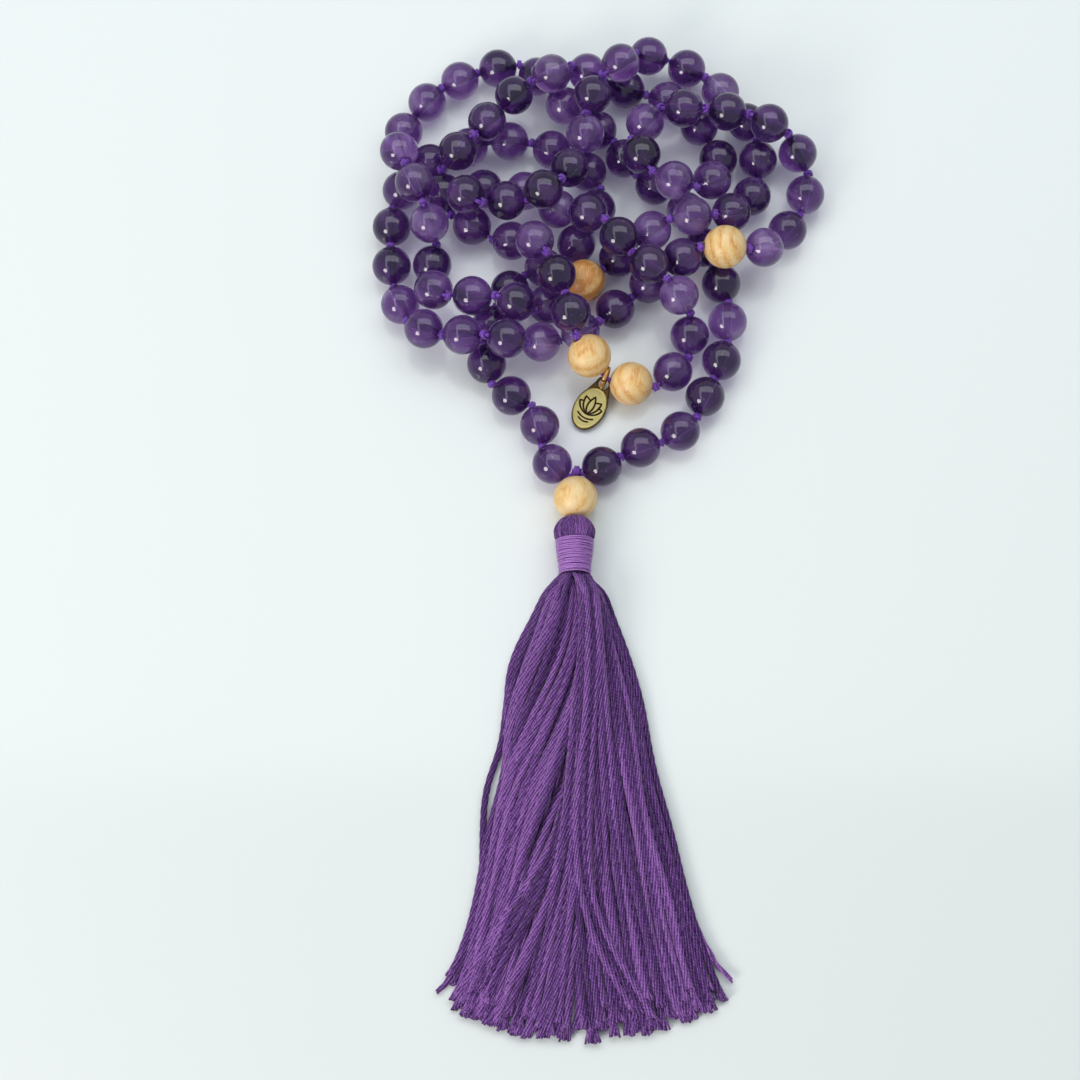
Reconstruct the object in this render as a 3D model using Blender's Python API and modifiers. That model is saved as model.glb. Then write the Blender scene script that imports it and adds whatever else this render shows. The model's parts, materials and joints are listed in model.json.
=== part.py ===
"""A knotted mala laid down in a loose pile, with its charm and tassel.

104 amethyst beads and four wood markers are strung on one closed cord with a knot between
neighbours. Both ends meet in a gather knot, pass through the guru bead and carry the tassel.
Units are metres, +Z is up, and the model stands on z = 0 under the middle of its box.
"""
import math

import bmesh
import bpy
import numpy as np
from mathutils import Matrix, Vector

MM = 0.001

# ---------------------------------------------------------------- beads and cord
BEAD_DIAMETER = 8.0 * MM        # amethyst
BEAD_BORE = 1.5 * MM
WOOD_DIAMETER = 8.7 * MM        # markers and guru bead
WOOD_BORE = 2.0 * MM
CORD_DIAMETER = 0.8 * MM
KNOT_DIAMETER = 1.5 * MM
KNOT_GAP = 0.7 * MM             # from bead to bead, filled by a knot
CHARM_GAP = 1.8 * MM            # between the two markers that the charm hangs between
CLEARANCE = 0.3 * MM            # between pieces that touch on the real mala
GATHER_KNOT_DIAMETER = 1.6 * MM
GATHER_GAP = 0.5 * MM           # from the gather knot to the first bead on each side
GURU_GAP = 0.4 * MM             # from the gather knot to the guru bead
GURU_CLEARANCE = 0.2 * MM       # between the guru bead and the beads beside it
GURU_CORD_DIAMETER = 1.2 * MM   # both cord ends together

# ---------------------------------------------------------------- ring and charm
RING_DIAMETER = 5.04 * MM       # outside
RING_WIRE = 0.84 * MM
RING_PLAY = 0.2 * MM            # between the ring and the cord it hangs on
RING_DROP = math.radians(30)    # how far below level the ring hangs from the cord
EYE_HOLE = 2.1 * MM
EYE_RIM = 0.8 * MM
CHARM_LENGTH = 9.4 * MM         # oval plate without its eye
CHARM_WIDTH = 6.6 * MM
CHARM_THICKNESS = 1.0 * MM

# ---------------------------------------------------------------- tassel
LOOP_DIAMETER = 1.0 * MM        # to the middle of the loop's strand
LOOP_STRAND = 0.4 * MM
LOOP_SEAT = 0.15 * MM           # loop's centre below the guru bead
HEAD_SEAT = 0.3 * MM            # head's top below the loop's centre
HEAD_SOCKET = 2.0 * MM
HEAD_SOCKET_DEPTH = 1.2 * MM
HEAD_DIAMETER = 8.0 * MM
HEAD_DOME = 2.8 * MM            # height of the dome above the wrap
WRAP_LENGTH = 6.8 * MM
WRAP_TOP = 7.7 * MM             # outside diameters of the wrap
WRAP_BOTTOM = 6.6 * MM
WRAP_THICKNESS = 0.5 * MM
NECK_DIAMETER = 6.6 * MM
SKIRT_LENGTH = 89.0 * MM
SKIRT_WIDTH = 54.5 * MM         # at its widest, at the hem
SKIRT_HEIGHT = 7.8 * MM         # at its highest, below the neck
SKIRT_EDGE = 1.2 * MM           # at its sides, where single strands lie
SKIRT_BOW = 0.085               # its strands have one length, so it fans out in arcs
LOCK_WIDTH = 2.3 * MM           # half the width of a lock of strands
LOCK_RELIEF = 0.34              # how much lower the back lies between locks

# Half widths to the left and right as shares of SKIRT_WIDTH, and heights as shares of
# SKIRT_HEIGHT, at shares of SKIRT_LENGTH from the neck to the hem.
SKIRT_STATIONS = [
    (0.05, 0.097, 0.103, 0.99),
    (0.12, 0.152, 0.147, 0.94),
    (0.22, 0.224, 0.200, 0.86),
    (0.32, 0.255, 0.240, 0.76),
    (0.42, 0.255, 0.259, 0.68),
    (0.51, 0.275, 0.290, 0.63),
    (0.61, 0.312, 0.340, 0.57),
    (0.72, 0.345, 0.376, 0.51),
    (0.83, 0.376, 0.420, 0.45),
    (0.92, 0.407, 0.466, 0.40),
    (1.00, 0.465, 0.515, 0.33),
]
# Where the locks that lie on top pass those stations, in millimetres from the middle.
SKIRT_LOCKS = [
    (-2, -3.5, -6.5, -9.5, -12, -13, -15, -16.5, -18.5, -20.5, -23),
    (0, 0, -0.5, -2, -3.5, -5, -6, -7.5, -10, -12, -13.5),
    (1, 1, 1, 0.5, -0.5, -1.5, -2.5, -3, -4, -5, -5.5),
    (2, 2.5, 2.5, 2, 1, -0.5, -1, 0, 1.5, 3.5, 5),
    (3.5, 5, 6, 6.5, 6.5, 7, 8, 10, 12, 14, 15),
    (4.5, 6, 7.5, 8.5, 9.5, 11, 14, 17, 20, 22.5, 25),
]

# ---------------------------------------------------------------- the strand as it lies
# Middles of the beads, from the guru bead's right side round to its left, laid out by hand
# in millimetres for beads that lie LAID_STEP of them apart. Heights are a bead's layer.
LAID_STEP = 8.7
GATHER_POINT = (7.3, 12.9, 4.2)
GURU_POINT = (7.0, 7.3, 4.4)
FIRST_QUARTER = [
    (12, 14, 4), (20, 18, 4), (28, 21.5, 4), (33, 29, 4), (36.5, 37, 4), (38, 45, 4),
    (37, 53.5, 4), (33, 60.5, 4), (30, 70, 4), (24, 75.5, 4), (17.5, 82, 4), (12, 88.5, 4),
    (5, 94.5, 4), (-0.5, 101, 4), (-9, 103, 4), (-17, 100, 4), (-24, 94.5, 4), (-28, 89, 4),
    (-29, 81, 9), (-25.5, 72, 11), (-22.5, 64.5, 8.5), (-22.5, 58, 4), (-21, 50, 8.5),
    (-14, 47.5, 10), (-5.5, 46.5, 9.5), (1.5, 49.5, 4),
]
FIRST_MARKER = (9.5, 54, 4.5)
SECOND_QUARTER = [
    (15.5, 59, 4), (23, 63.5, 8.5), (31, 65.5, 10), (39, 67.5, 8.5), (44, 74, 4),
    (46, 81.5, 4), (43, 90, 4), (38, 97.5, 4), (31, 103, 4), (23.5, 104.5, 6),
    (16, 98.5, 11), (11, 92.5, 10), (9.5, 84.5, 10), (6.5, 76.5, 10), (0, 70, 12.5),
    (-7, 69.5, 9), (-13.5, 69.5, 11), (-11.5, 74.5, 4.5), (-4, 73, 4), (3, 70.5, 5),
    (10, 64.5, 10), (16, 60, 12), (22, 54.5, 11), (28, 49, 9), (30.5, 42, 4), (26.5, 34, 4),
]
SECOND_MARKER = (18, 32, 4.5)
THIRD_MARKER = (10.5, 36, 7.5)
THIRD_QUARTER = [
    (6.5, 43, 11.5), (3, 53, 11.5), (0, 58.5, 10.5), (-6.5, 64, 4.5), (-14, 66.5, 4),
    (-19, 73.5, 5), (-17.5, 80, 10), (-11, 86.5, 11), (-4.5, 95, 9), (2.5, 98, 10),
    (9.5, 100.5, 7), (18, 99, 4), (27, 95.5, 4), (33.5, 89, 4), (37.5, 82, 4),
    (35, 74.5, 8.5), (27.5, 73.5, 10.5), (20.5, 78.5, 11), (22, 88.5, 8.5), (29.5, 89.5, 11),
    (38.5, 89.5, 10), (47, 86.5, 9.5), (53, 82, 5), (55, 73.5, 4), (51, 65.5, 4),
    (45, 59.5, 8.5),
]
FOURTH_MARKER = (37.5, 58.5, 10.5)
FOURTH_QUARTER = [
    (29.5, 57.5, 8.5), (22, 53.5, 4), (15, 48, 4), (8, 42.5, 4), (1, 40.5, 4.5),
    (-7.5, 39, 10), (-15.5, 40, 8.5), (-22.5, 42, 7.5), (-28.5, 49, 4), (-30, 57.5, 4),
    (-30.5, 66.5, 4), (-28.5, 74.5, 4), (-23, 80.5, 4), (-15, 84, 4), (-6.5, 86, 4),
    (2.5, 84, 4), (9.5, 78.5, 4), (11, 71, 4), (7, 62.5, 4), (0.5, 57.5, 4),
    (-5.5, 51.5, 4.5), (-10, 44.5, 4), (-10, 36, 4), (-5.5, 29, 4), (-0.5, 22, 4),
    (3.5, 14.5, 4),
]
FRONT_RIGHT_BEADS = 4           # beads from the gather knot to the bend, right side
FRONT_LEFT_BEADS = 3            # and left side
RUN_BEADS = 4                   # beads that one run of cord holds, at most
SHARP_LINKS = (21, 23, 41, 42, 43, 44, 57, 74)      # a run also ends at these beads, counted
                                # from the gather knot, because the cord turns sharply there

# ---------------------------------------------------------------- how the strand settles
SETTLE_ROUNDS = 900
FREE_ROUNDS = 675               # rounds in which beads are still drawn to their places
PULL = 0.02                     # share of the way back to its place that a bead takes
KNOT_SQUEEZE = 0.18 * MM        # how far a knot can be pushed together
KNOT_STRETCH = 0.30 * MM        # and pulled apart
AIM_ROUNDS = 40
AIM_PULL = 0.1                  # how much of a knot's offset turns the beads beside it
GATHER_PULL = 0.5               # the same for the gather knot, against any other knot

# ---------------------------------------------------------------- fineness of round pieces
BEAD_SIDES = 12
BEAD_RINGS = 6
CORD_RESOLUTION = 2             # eight sides
RING_SEGMENTS = 28
RING_SIDES = 8
TASSEL_SIDES = 20
CHARM_STEPS = 16
EYE_SIDES = 12
SKIRT_COLUMNS = 23

AMETHYST = ("amethyst", (0.10, 0.045, 0.20, 1.0), 0.12, 0.0)
WOOD = ("boxwood", (0.75, 0.47, 0.20, 1.0), 0.50, 0.0)
NYLON = ("braided_nylon", (0.15, 0.03, 0.38, 1.0), 0.55, 0.0)
COTTON = ("cotton_floss", (0.16, 0.045, 0.30, 1.0), 0.85, 0.0)
BRONZE = ("antique_bronze", (0.33, 0.23, 0.10, 1.0), 0.42, 1.0)


# ---------------------------------------------------------------- scene helpers
def clear_scene():
    for old in list(bpy.data.objects):
        bpy.data.objects.remove(old, do_unlink=True)


def new_collection(name):
    collection = bpy.data.collections.new(name)
    bpy.context.scene.collection.children.link(collection)
    return collection


def new_material(name, finish):
    """A Principled material of its own for each object."""
    label, colour, roughness, metallic = finish
    material = bpy.data.materials.new(name + "_" + label)
    material.use_nodes = True
    shader = material.node_tree.nodes["Principled BSDF"]
    shader.inputs["Base Color"].default_value = colour
    shader.inputs["Roughness"].default_value = roughness
    shader.inputs["Metallic"].default_value = metallic
    return material


def add_object(name, data, finish, parent, matrix=None):
    """Put a mesh or curve in the mala's collection, with its material and its parent."""
    item = bpy.data.objects.new(name, data)
    MALA.objects.link(item)
    data.materials.append(new_material(name, finish))
    item.matrix_world = matrix or Matrix()
    hang_on(item, parent)
    return item


def add_hinge(name, place, direction, parent):
    """An empty on a joint's axis, its own X along the axis."""
    hinge = bpy.data.objects.new(name, None)
    hinge.empty_display_size = BEAD_DIAMETER
    MALA.objects.link(hinge)
    turn = Vector((1, 0, 0)).rotation_difference(Vector(direction))
    hinge.matrix_world = Matrix.Translation(Vector(place)) @ turn.to_matrix().to_4x4()
    hang_on(hinge, parent)
    return hinge


def hang_on(item, parent):
    if parent is not None:
        bpy.context.view_layer.update()
        item.parent = parent
        item.matrix_parent_inverse = parent.matrix_world.inverted()


def aim(place, direction, up=(0, 0, 1)):
    """The matrix that puts a piece at a place and turns its own `up` along a direction."""
    turn = Vector(up).rotation_difference(Vector(direction))
    return Matrix.Translation(Vector(place)) @ turn.to_matrix().to_4x4()


# ---------------------------------------------------------------- shapes
def tube(name, points, radii, finish, parent):
    """A round piece along points, with its own radius at each of them and filled ends."""
    curve = bpy.data.curves.new(name, "CURVE")
    curve.dimensions = "3D"
    curve.bevel_depth = max(radii)
    curve.bevel_resolution = CORD_RESOLUTION
    curve.use_fill_caps = True
    spline = curve.splines.new("POLY")
    spline.points.add(len(points) - 1)
    for knot, point, radius in zip(spline.points, points, radii):
        knot.co = (*point, 1.0)
        knot.radius = radius / curve.bevel_depth
    spline.use_smooth = True
    return add_object(name, curve, finish, parent)


def turned(name, profile, closed, sides, finish, parent, matrix):
    """A solid turned about Z from a profile of (radius, height) points."""
    mesh = bpy.data.meshes.new(name)
    count = len(profile)
    edges = [(i, i + 1) for i in range(count - 1)]
    if closed:
        edges.append((count - 1, 0))
    mesh.from_pydata([(radius, 0.0, height) for radius, height in profile], edges, [])
    item = add_object(name, mesh, finish, parent, matrix)
    screw = item.modifiers.new("turn", "SCREW")
    screw.steps = sides
    screw.render_steps = sides
    screw.use_merge_vertices = True
    screw.merge_threshold = 0.00001
    screw.use_smooth_shade = True
    return item


def drilled_bead(name, diameter, bore, finish, parent, centre, axis):
    """A round bead with its drilled hole, turned about the hole."""
    radius = diameter / 2
    mouth = math.asin(bore / diameter)
    step = (math.pi - 2 * mouth) / BEAD_RINGS
    angles = [mouth + step * i for i in range(BEAD_RINGS + 1)]
    profile = [(radius * math.sin(a), radius * math.cos(a)) for a in angles]
    return turned(name, profile, True, BEAD_SIDES, finish, parent, aim(centre, axis))


def torus(name, diameter, wire, segments, finish, parent, matrix):
    """A ring of round wire about its own Z; the diameter is to the wire's middle."""
    bpy.ops.mesh.primitive_torus_add(
        major_segments=segments, minor_segments=RING_SIDES,
        major_radius=diameter / 2, minor_radius=wire / 2)
    made = bpy.context.object
    mesh = made.data
    mesh.name = name
    bpy.data.objects.remove(made, do_unlink=True)
    mesh.shade_smooth()
    return add_object(name, mesh, finish, parent, matrix)


def ball(name, diameter, finish, parent, centre):
    mesh = bpy.data.meshes.new(name)
    shape = bmesh.new()
    bmesh.ops.create_uvsphere(
        shape, u_segments=BEAD_SIDES, v_segments=BEAD_RINGS, radius=diameter / 2)
    shape.to_mesh(mesh)
    shape.free()
    mesh.shade_smooth()
    return add_object(name, mesh, finish, parent, Matrix.Translation(Vector(centre)))


# ---------------------------------------------------------------- the strand
def unit(vectors):
    return vectors / np.linalg.norm(vectors, axis=-1, keepdims=True)


def lay_out_strand():
    """The strand's places and radii: gather knot, beads and markers in stringing order."""
    middle = [SECOND_MARKER, THIRD_MARKER]
    route = [GATHER_POINT] + FIRST_QUARTER + [FIRST_MARKER] + SECOND_QUARTER + middle
    route += THIRD_QUARTER + [FOURTH_MARKER] + FOURTH_QUARTER
    first = 1 + len(FIRST_QUARTER)
    second = first + 1 + len(SECOND_QUARTER)
    fourth = second + 2 + len(THIRD_QUARTER)
    markers = [first, second, second + 1, fourth]
    scale = (BEAD_DIAMETER + KNOT_GAP) / LAID_STEP
    radii = np.full(len(route), BEAD_DIAMETER / 2)
    radii[0] = GATHER_KNOT_DIAMETER / 2
    radii[markers] = WOOD_DIAMETER / 2
    return np.array(route) * scale, radii, markers


def settle(places, radii, markers, guru):
    """Move the beads as little as it takes until neighbours are a knot apart along the
    cord, no two beads touch, and none sinks into the table."""
    spots = places.copy()
    count = len(spots)
    near = np.arange(count)
    following = (near + 1) % count
    length = radii[near] + radii[following] + KNOT_GAP
    length[[0, -1]] = radii[0] + radii[1] + GATHER_GAP
    length[markers[1]] = WOOD_DIAMETER + CHARM_GAP
    low, high = length - KNOT_SQUEEZE, length + KNOT_STRETCH
    left, right = np.triu_indices(count, 1)
    apart = (right - left > 1) & (right - left < count - 1)
    left, right = left[apart], right[apart]
    reach = radii[left] + radii[right] + CLEARANCE
    guru_reach = radii + WOOD_DIAMETER / 2 + GURU_CLEARANCE
    for turn in range(SETTLE_ROUNDS):
        if turn < FREE_ROUNDS:
            spots += PULL * (places - spots)
        for parity in (0, 1):
            link = spots[following] - spots[near]
            size = np.linalg.norm(link, axis=1)
            excess = size - np.clip(size, low, high)
            shift = link / size[:, None] * (excess / 2)[:, None]
            chosen = near % 2 == parity
            np.add.at(spots, near[chosen], shift[chosen])
            np.add.at(spots, following[chosen], -shift[chosen])
        gap = spots[right] - spots[left]
        size = np.linalg.norm(gap, axis=1)
        close = size < reach
        push = gap[close] / size[close, None] * ((reach - size)[close] / 2)[:, None]
        np.add.at(spots, right[close], push)
        np.add.at(spots, left[close], -push)
        away = spots - guru
        size = np.linalg.norm(away, axis=1)
        close = size < guru_reach
        close[0] = False
        spots[close] += away[close] / size[close, None] * (guru_reach - size)[close, None]
        spots[:, 2] = np.maximum(spots[:, 2], radii)
        spots[0] = places[0]
    return spots


def hole_axes(centres, radii):
    """The way each bead's hole points: first from the bead before it to the bead after it,
    then turned until the mouths of neighbours come as near to each other as they can."""
    reach = radii[:, None].copy()
    reach[0] = 0
    pull = np.full((len(centres), 1), AIM_PULL)
    pull[[0, -1]] *= GATHER_PULL
    axes = unit(np.roll(centres, -1, axis=0) - np.roll(centres, 1, axis=0))
    for _ in range(AIM_ROUNDS):
        leaving, entering = centres + axes * reach, centres - axes * reach
        offset = pull * (np.roll(entering, -1, axis=0) - leaving)
        turn = offset + np.roll(offset, 1, axis=0)
        axes[1:] = unit(axes[1:] + turn[1:] / reach[1:])
    return axes


# ---------------------------------------------------------------- cord and beads
def mouth(index, side, share=1.0):
    """A point on a bead's hole axis: side 1 is where the strand leaves it, -1 enters."""
    return CENTRES[index] + AXES[index] * side * RADII[index] * share


def bead_rings(index):
    """Points and radii that draw one bead of a run, from pole to pole."""
    radius = RADII[index]
    polar = math.asin(KNOT_DIAMETER / 2 / radius)
    step = (math.pi - 2 * polar) / BEAD_RINGS
    angles = [polar + step * i for i in range(BEAD_RINGS + 1)]
    points = [CENTRES[index] - AXES[index] * radius * math.cos(a) for a in angles]
    return points, [radius * math.sin(a) for a in angles]


def add_run(name, indices, knotted, parent):
    """Beads with the cord that holds them; half a knot ends it if `knotted`."""
    points, radii = [], []
    for index in indices:
        bead_points, bead_radii = bead_rings(index)
        points += bead_points
        radii += bead_radii
    if knotted:
        way = AXES[indices[-1]]
        points += [points[-1] + way * KNOT_GAP / 4, points[-1] + way * KNOT_GAP / 2]
        radii += [KNOT_DIAMETER / 2, CORD_DIAMETER / 2]
    return tube(name, points, radii, AMETHYST, parent)


def split_runs(start, stop):
    """Beads from start to stop in runs of RUN_BEADS or fewer, broken at sharp links."""
    runs = [[start]]
    for index in range(start + 1, stop):
        if len(runs[-1]) == RUN_BEADS or index - 1 in SHARP_LINKS:
            runs.append([])
        runs[-1].append(index)
    return runs


def pile_runs(markers):
    """The pile's runs, none of which crosses a marker."""
    first = 1 + FRONT_RIGHT_BEADS
    last = len(CENTRES) - FRONT_LEFT_BEADS
    starts = [first] + [marker + 1 for marker in markers]
    stops = markers + [last]
    runs = []
    for start, stop in zip(starts, stops):
        if start < stop:
            runs += [(run, run[-1] + 1 < stop) for run in split_runs(start, stop)]
    return runs


def add_marker_cord(name, indices, parent):
    """The cord through one marker or more, with a knot at each end."""
    inside = [mouth(i, side) for i in indices for side in (-1, 1)]
    thin, thick = CORD_DIAMETER / 2, KNOT_DIAMETER / 2
    before, after = -AXES[indices[0]] * KNOT_GAP, AXES[indices[-1]] * KNOT_GAP
    points = [inside[0] + before * 0.45, inside[0] + before * 0.2] + inside
    points += [inside[-1] + after * 0.2, inside[-1] + after * 0.45]
    radii = [thin, thick] + [thin] * len(inside) + [thick, thin]
    return tube(name, points, radii, NYLON, parent)


def add_front_cord(name, indices, bend, parent):
    """The cord that the front beads turn on, from the gather knot to the bend where the
    strand lifts. It has no knots, so that each bead has room all round it."""
    way = unit(mouth(indices[0], -1) - CENTRES[0])
    points = [CENTRES[0] + way * (RADII[0] + CLEARANCE)]
    points += [mouth(index, side) for index in indices for side in (-1, 1)]
    points.append(bend)
    return tube(name, points, [CORD_DIAMETER / 2] * len(points), NYLON, parent)


# ---------------------------------------------------------------- charm
def charm_outline():
    """Half width of the charm along its length: an oval plate joined to a round eye."""
    eye = EYE_HOLE / 2 + EYE_RIM
    middle = EYE_HOLE / 2 + EYE_RIM / 2 + CHARM_LENGTH / 2
    tip = middle + CHARM_LENGTH / 2
    right = []
    for i in range(CHARM_STEPS + 1):
        along = -eye + (tip + eye) * (1 - math.cos(math.pi * i / CHARM_STEPS)) / 2
        in_eye = math.sqrt(max(0.0, eye ** 2 - along ** 2))
        share = (along - middle) / (CHARM_LENGTH / 2)
        in_plate = CHARM_WIDTH / 2 * math.sqrt(max(0.0, 1 - share ** 2))
        right.append((max(in_eye, in_plate), along))
    left = [(-width, along) for width, along in right[-2:0:-1]]
    return right + left, tip


def flat_plate(name, outlines, thickness, finish, parent, matrix):
    """A plate cut from flat outlines; the first is its edge and the others its holes."""
    curve = bpy.data.curves.new(name, "CURVE")
    curve.dimensions = "2D"
    curve.fill_mode = "BOTH"
    curve.extrude = thickness / 2
    for outline in outlines:
        spline = curve.splines.new("POLY")
        spline.points.add(len(outline) - 1)
        for knot, (x, y) in zip(spline.points, outline):
            knot.co = (x, y, 0.0, 1.0)
        spline.use_cyclic_u = True
    return add_object(name, curve, finish, parent, matrix)


def add_charm(markers, parent):
    """The jump ring round the cord between two markers, and the charm that hangs in it."""
    here, there = mouth(markers[1], 1), mouth(markers[2], -1)
    cord_point = Vector((here + there) / 2)
    cord_way = Vector(unit(there - here))
    level = cord_way.cross(Vector((0, 0, 1))).normalized()
    if level.y > 0:
        level = -level
    fall = level * math.cos(RING_DROP) - Vector((0, 0, math.sin(RING_DROP)))
    hang = (fall - cord_way * fall.dot(cord_way)).normalized()
    to_wire = (RING_DIAMETER - RING_WIRE) / 2
    ring_middle = cord_point + hang * (to_wire - RING_WIRE / 2 - CORD_DIAMETER / 2 - RING_PLAY)
    lift = hang.cross(Vector((0, 0, 1))).normalized()
    if lift.dot(cord_way) < 0:
        cord_way = -cord_way
    swing = add_hinge("ring_swing_axis", cord_point, cord_way, parent)
    torus("jump_ring", 2 * to_wire, RING_WIRE, RING_SEGMENTS, BRONZE, swing,
          aim(ring_middle, cord_way))
    turn = add_hinge("charm_turn_axis", ring_middle, cord_way, swing)
    eye = ring_middle + hang * to_wire
    outline, tip = charm_outline()
    hole = [(EYE_HOLE / 2 * math.cos(2 * math.pi * i / EYE_SIDES),
             EYE_HOLE / 2 * math.sin(2 * math.pi * i / EYE_SIDES)) for i in range(EYE_SIDES)]
    tilt = math.asin((eye.z - CHARM_THICKNESS / 2) / tip)
    along = level * math.cos(tilt) - Vector((0, 0, math.sin(tilt)))
    across = along.cross(Vector((0, 0, 1))).normalized()
    facing = across.cross(along)
    matrix = Matrix((across, along, facing)).transposed().to_4x4()
    matrix.translation = eye
    flat_plate("charm", [outline, hole], CHARM_THICKNESS, BRONZE, turn, matrix)


# ---------------------------------------------------------------- tassel
def dome_depth(radius):
    """How far below its top the head's dome is at a radius from its axis."""
    share = radius / (HEAD_DIAMETER / 2)
    return HEAD_DOME * (1 - math.sqrt(max(0.0, 1 - share ** 2)))


def add_tassel_head(pivot, parent):
    """The folded head of the tassel, open at its top for the loop it hangs by, and the
    band wound round its waist."""
    socket = HEAD_SOCKET / 2
    wrap_top = -HEAD_SEAT - HEAD_DOME - CLEARANCE
    wrap_bottom = wrap_top - WRAP_LENGTH
    inner = [WRAP_TOP / 2 - WRAP_THICKNESS, WRAP_BOTTOM / 2 - WRAP_THICKNESS]
    profile = [(0, -HEAD_SEAT - HEAD_SOCKET_DEPTH), (socket, -HEAD_SEAT - HEAD_SOCKET_DEPTH)]
    steps = 6
    for i in range(steps + 1):
        radius = socket + (HEAD_DIAMETER / 2 - socket) * math.sin(math.pi / 2 * i / steps)
        profile.append((radius, -HEAD_SEAT - dome_depth(radius)))
    profile += [(inner[0] - CLEARANCE, -HEAD_SEAT - HEAD_DOME),
                (inner[1] - CLEARANCE, wrap_bottom), (0, wrap_bottom)]
    toward_guru = aim(pivot, (0, 1, 0))
    turned("tassel_head", profile, False, TASSEL_SIDES, COTTON, parent, toward_guru)
    band = [(WRAP_TOP / 2, wrap_top), (WRAP_BOTTOM / 2, wrap_bottom),
            (inner[1], wrap_bottom), (inner[0], wrap_top)]
    turned("tassel_wrap", band, True, TASSEL_SIDES, COTTON, parent, toward_guru)
    return wrap_bottom


def skirt_back(across, half, height, locks):
    """Height of the skirt's back at a place across it: round, and higher on its locks."""
    crown = (1 - min(1, abs(across / half)) ** 2.6) ** 0.6
    lock = max(math.exp(-((across - middle) / LOCK_WIDTH) ** 2) for middle in locks)
    relief = 1 - LOCK_RELIEF * (1 - lock)
    return SKIRT_EDGE + (height - SKIRT_EDGE) * crown * relief


def skirt_sections(neck, table):
    """Sections from neck to hem: for each column, a point below and a point on the back."""
    half = NECK_DIAMETER / 2
    shares = [2 * i / (SKIRT_COLUMNS - 1) - 1 for i in range(SKIRT_COLUMNS)]
    rows = []
    for share in shares:
        rise = half * math.sqrt(1 - (0.98 * share) ** 2)
        rows.append(((half * share, neck, -rise), (half * share, neck, rise)))
    sections = [rows]
    for number, (down, left, right, height) in enumerate(SKIRT_STATIONS):
        locks = [places[number] * MM for places in SKIRT_LOCKS]
        rows = []
        for share in shares:
            half = SKIRT_WIDTH * (right if share > 0 else left)
            y = neck - down * SKIRT_LENGTH * (1 - SKIRT_BOW * share ** 2)
            back = skirt_back(half * share, half, height * SKIRT_HEIGHT, locks)
            rows.append(((half * share, y, table), (half * share, y, table + back)))
        sections.append(rows)
    return sections


def add_skirt(pivot, neck, parent):
    """The free strands as one soft body, from the round neck to the flat hem."""
    shape = bmesh.new()
    sections = [[(shape.verts.new(low), shape.verts.new(high)) for low, high in rows]
                for rows in skirt_sections(neck - CLEARANCE, -pivot[2])]
    for rows, further in zip(sections, sections[1:]):
        for i in range(SKIRT_COLUMNS - 1):
            for side in (0, 1):
                shape.faces.new((rows[i][side], rows[i + 1][side],
                                 further[i + 1][side], further[i][side]))
        for i in (0, -1):
            shape.faces.new((*rows[i], *reversed(further[i])))
    for rows in (sections[0], sections[-1]):
        for here, beside in zip(rows, rows[1:]):
            shape.faces.new((*here, *reversed(beside)))
    bmesh.ops.recalc_face_normals(shape, faces=shape.faces)
    mesh = bpy.data.meshes.new("tassel_skirt")
    shape.to_mesh(mesh)
    shape.free()
    mesh.shade_smooth()
    mesh.set_sharp_from_angle(angle=math.radians(50))
    add_object("tassel_skirt", mesh, COTTON, parent, Matrix.Translation(Vector(pivot)))


def add_guru_and_tassel(guru, parent):
    """Guru bead, the cord in it, and the tassel that hangs below it by its loop."""
    axis = unit(guru - CENTRES[0])
    lift = add_hinge("guru_lift_axis", CENTRES[0], (-1, 0, 0), parent)
    pivot = guru + axis * (WOOD_DIAMETER / 2 + LOOP_SEAT)
    loop_reach = LOOP_DIAMETER / 2 + LOOP_STRAND / 2
    ends = [CENTRES[0] + axis * (RADII[0] + CLEARANCE), pivot - axis * (loop_reach + CLEARANCE)]
    tube("guru_cord", ends, [GURU_CORD_DIAMETER / 2] * 2, NYLON, lift)
    drilled_bead("guru_bead", WOOD_DIAMETER, WOOD_BORE, WOOD, lift, guru, axis)
    swing = add_hinge("tassel_swing_axis", pivot, (0, 0, 1), lift)
    torus("tassel_loop", LOOP_DIAMETER, LOOP_STRAND, RING_SEGMENTS // 2, COTTON, swing,
          aim(pivot, (1, 0, 0)))
    raise_axis = add_hinge("tassel_lift_axis", pivot, (-1, 0, 0), swing)
    neck = add_tassel_head(pivot, raise_axis)
    add_skirt(pivot, neck, raise_axis)


# ---------------------------------------------------------------- the whole mala
def add_front(parent):
    """The two strands that run to the gather knot; they lift together at their bends. The
    right one has single drilled beads on its cord, and the left one is a run."""
    right = list(range(1, 1 + FRONT_RIGHT_BEADS))
    left = list(range(len(CENTRES) - FRONT_LEFT_BEADS, len(CENTRES)))
    right_bend = (mouth(right[-1], 1) + mouth(right[-1] + 1, -1)) / 2
    left_bend = (mouth(left[0], -1) + mouth(left[0] - 1, 1)) / 2
    lift = add_hinge("front_lift_axis", (right_bend + left_bend) / 2,
                     unit(left_bend - right_bend), parent)
    ball("gather_knot", GATHER_KNOT_DIAMETER, NYLON, lift, CENTRES[0])
    add_front_cord("front_cord", right, right_bend, lift)
    for place, index in enumerate(right, 1):
        drilled_bead(f"front_bead_{place}", BEAD_DIAMETER, BEAD_BORE, AMETHYST,
                     lift, CENTRES[index], AXES[index])
    add_run("front_run", left, False, lift)
    return lift


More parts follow.
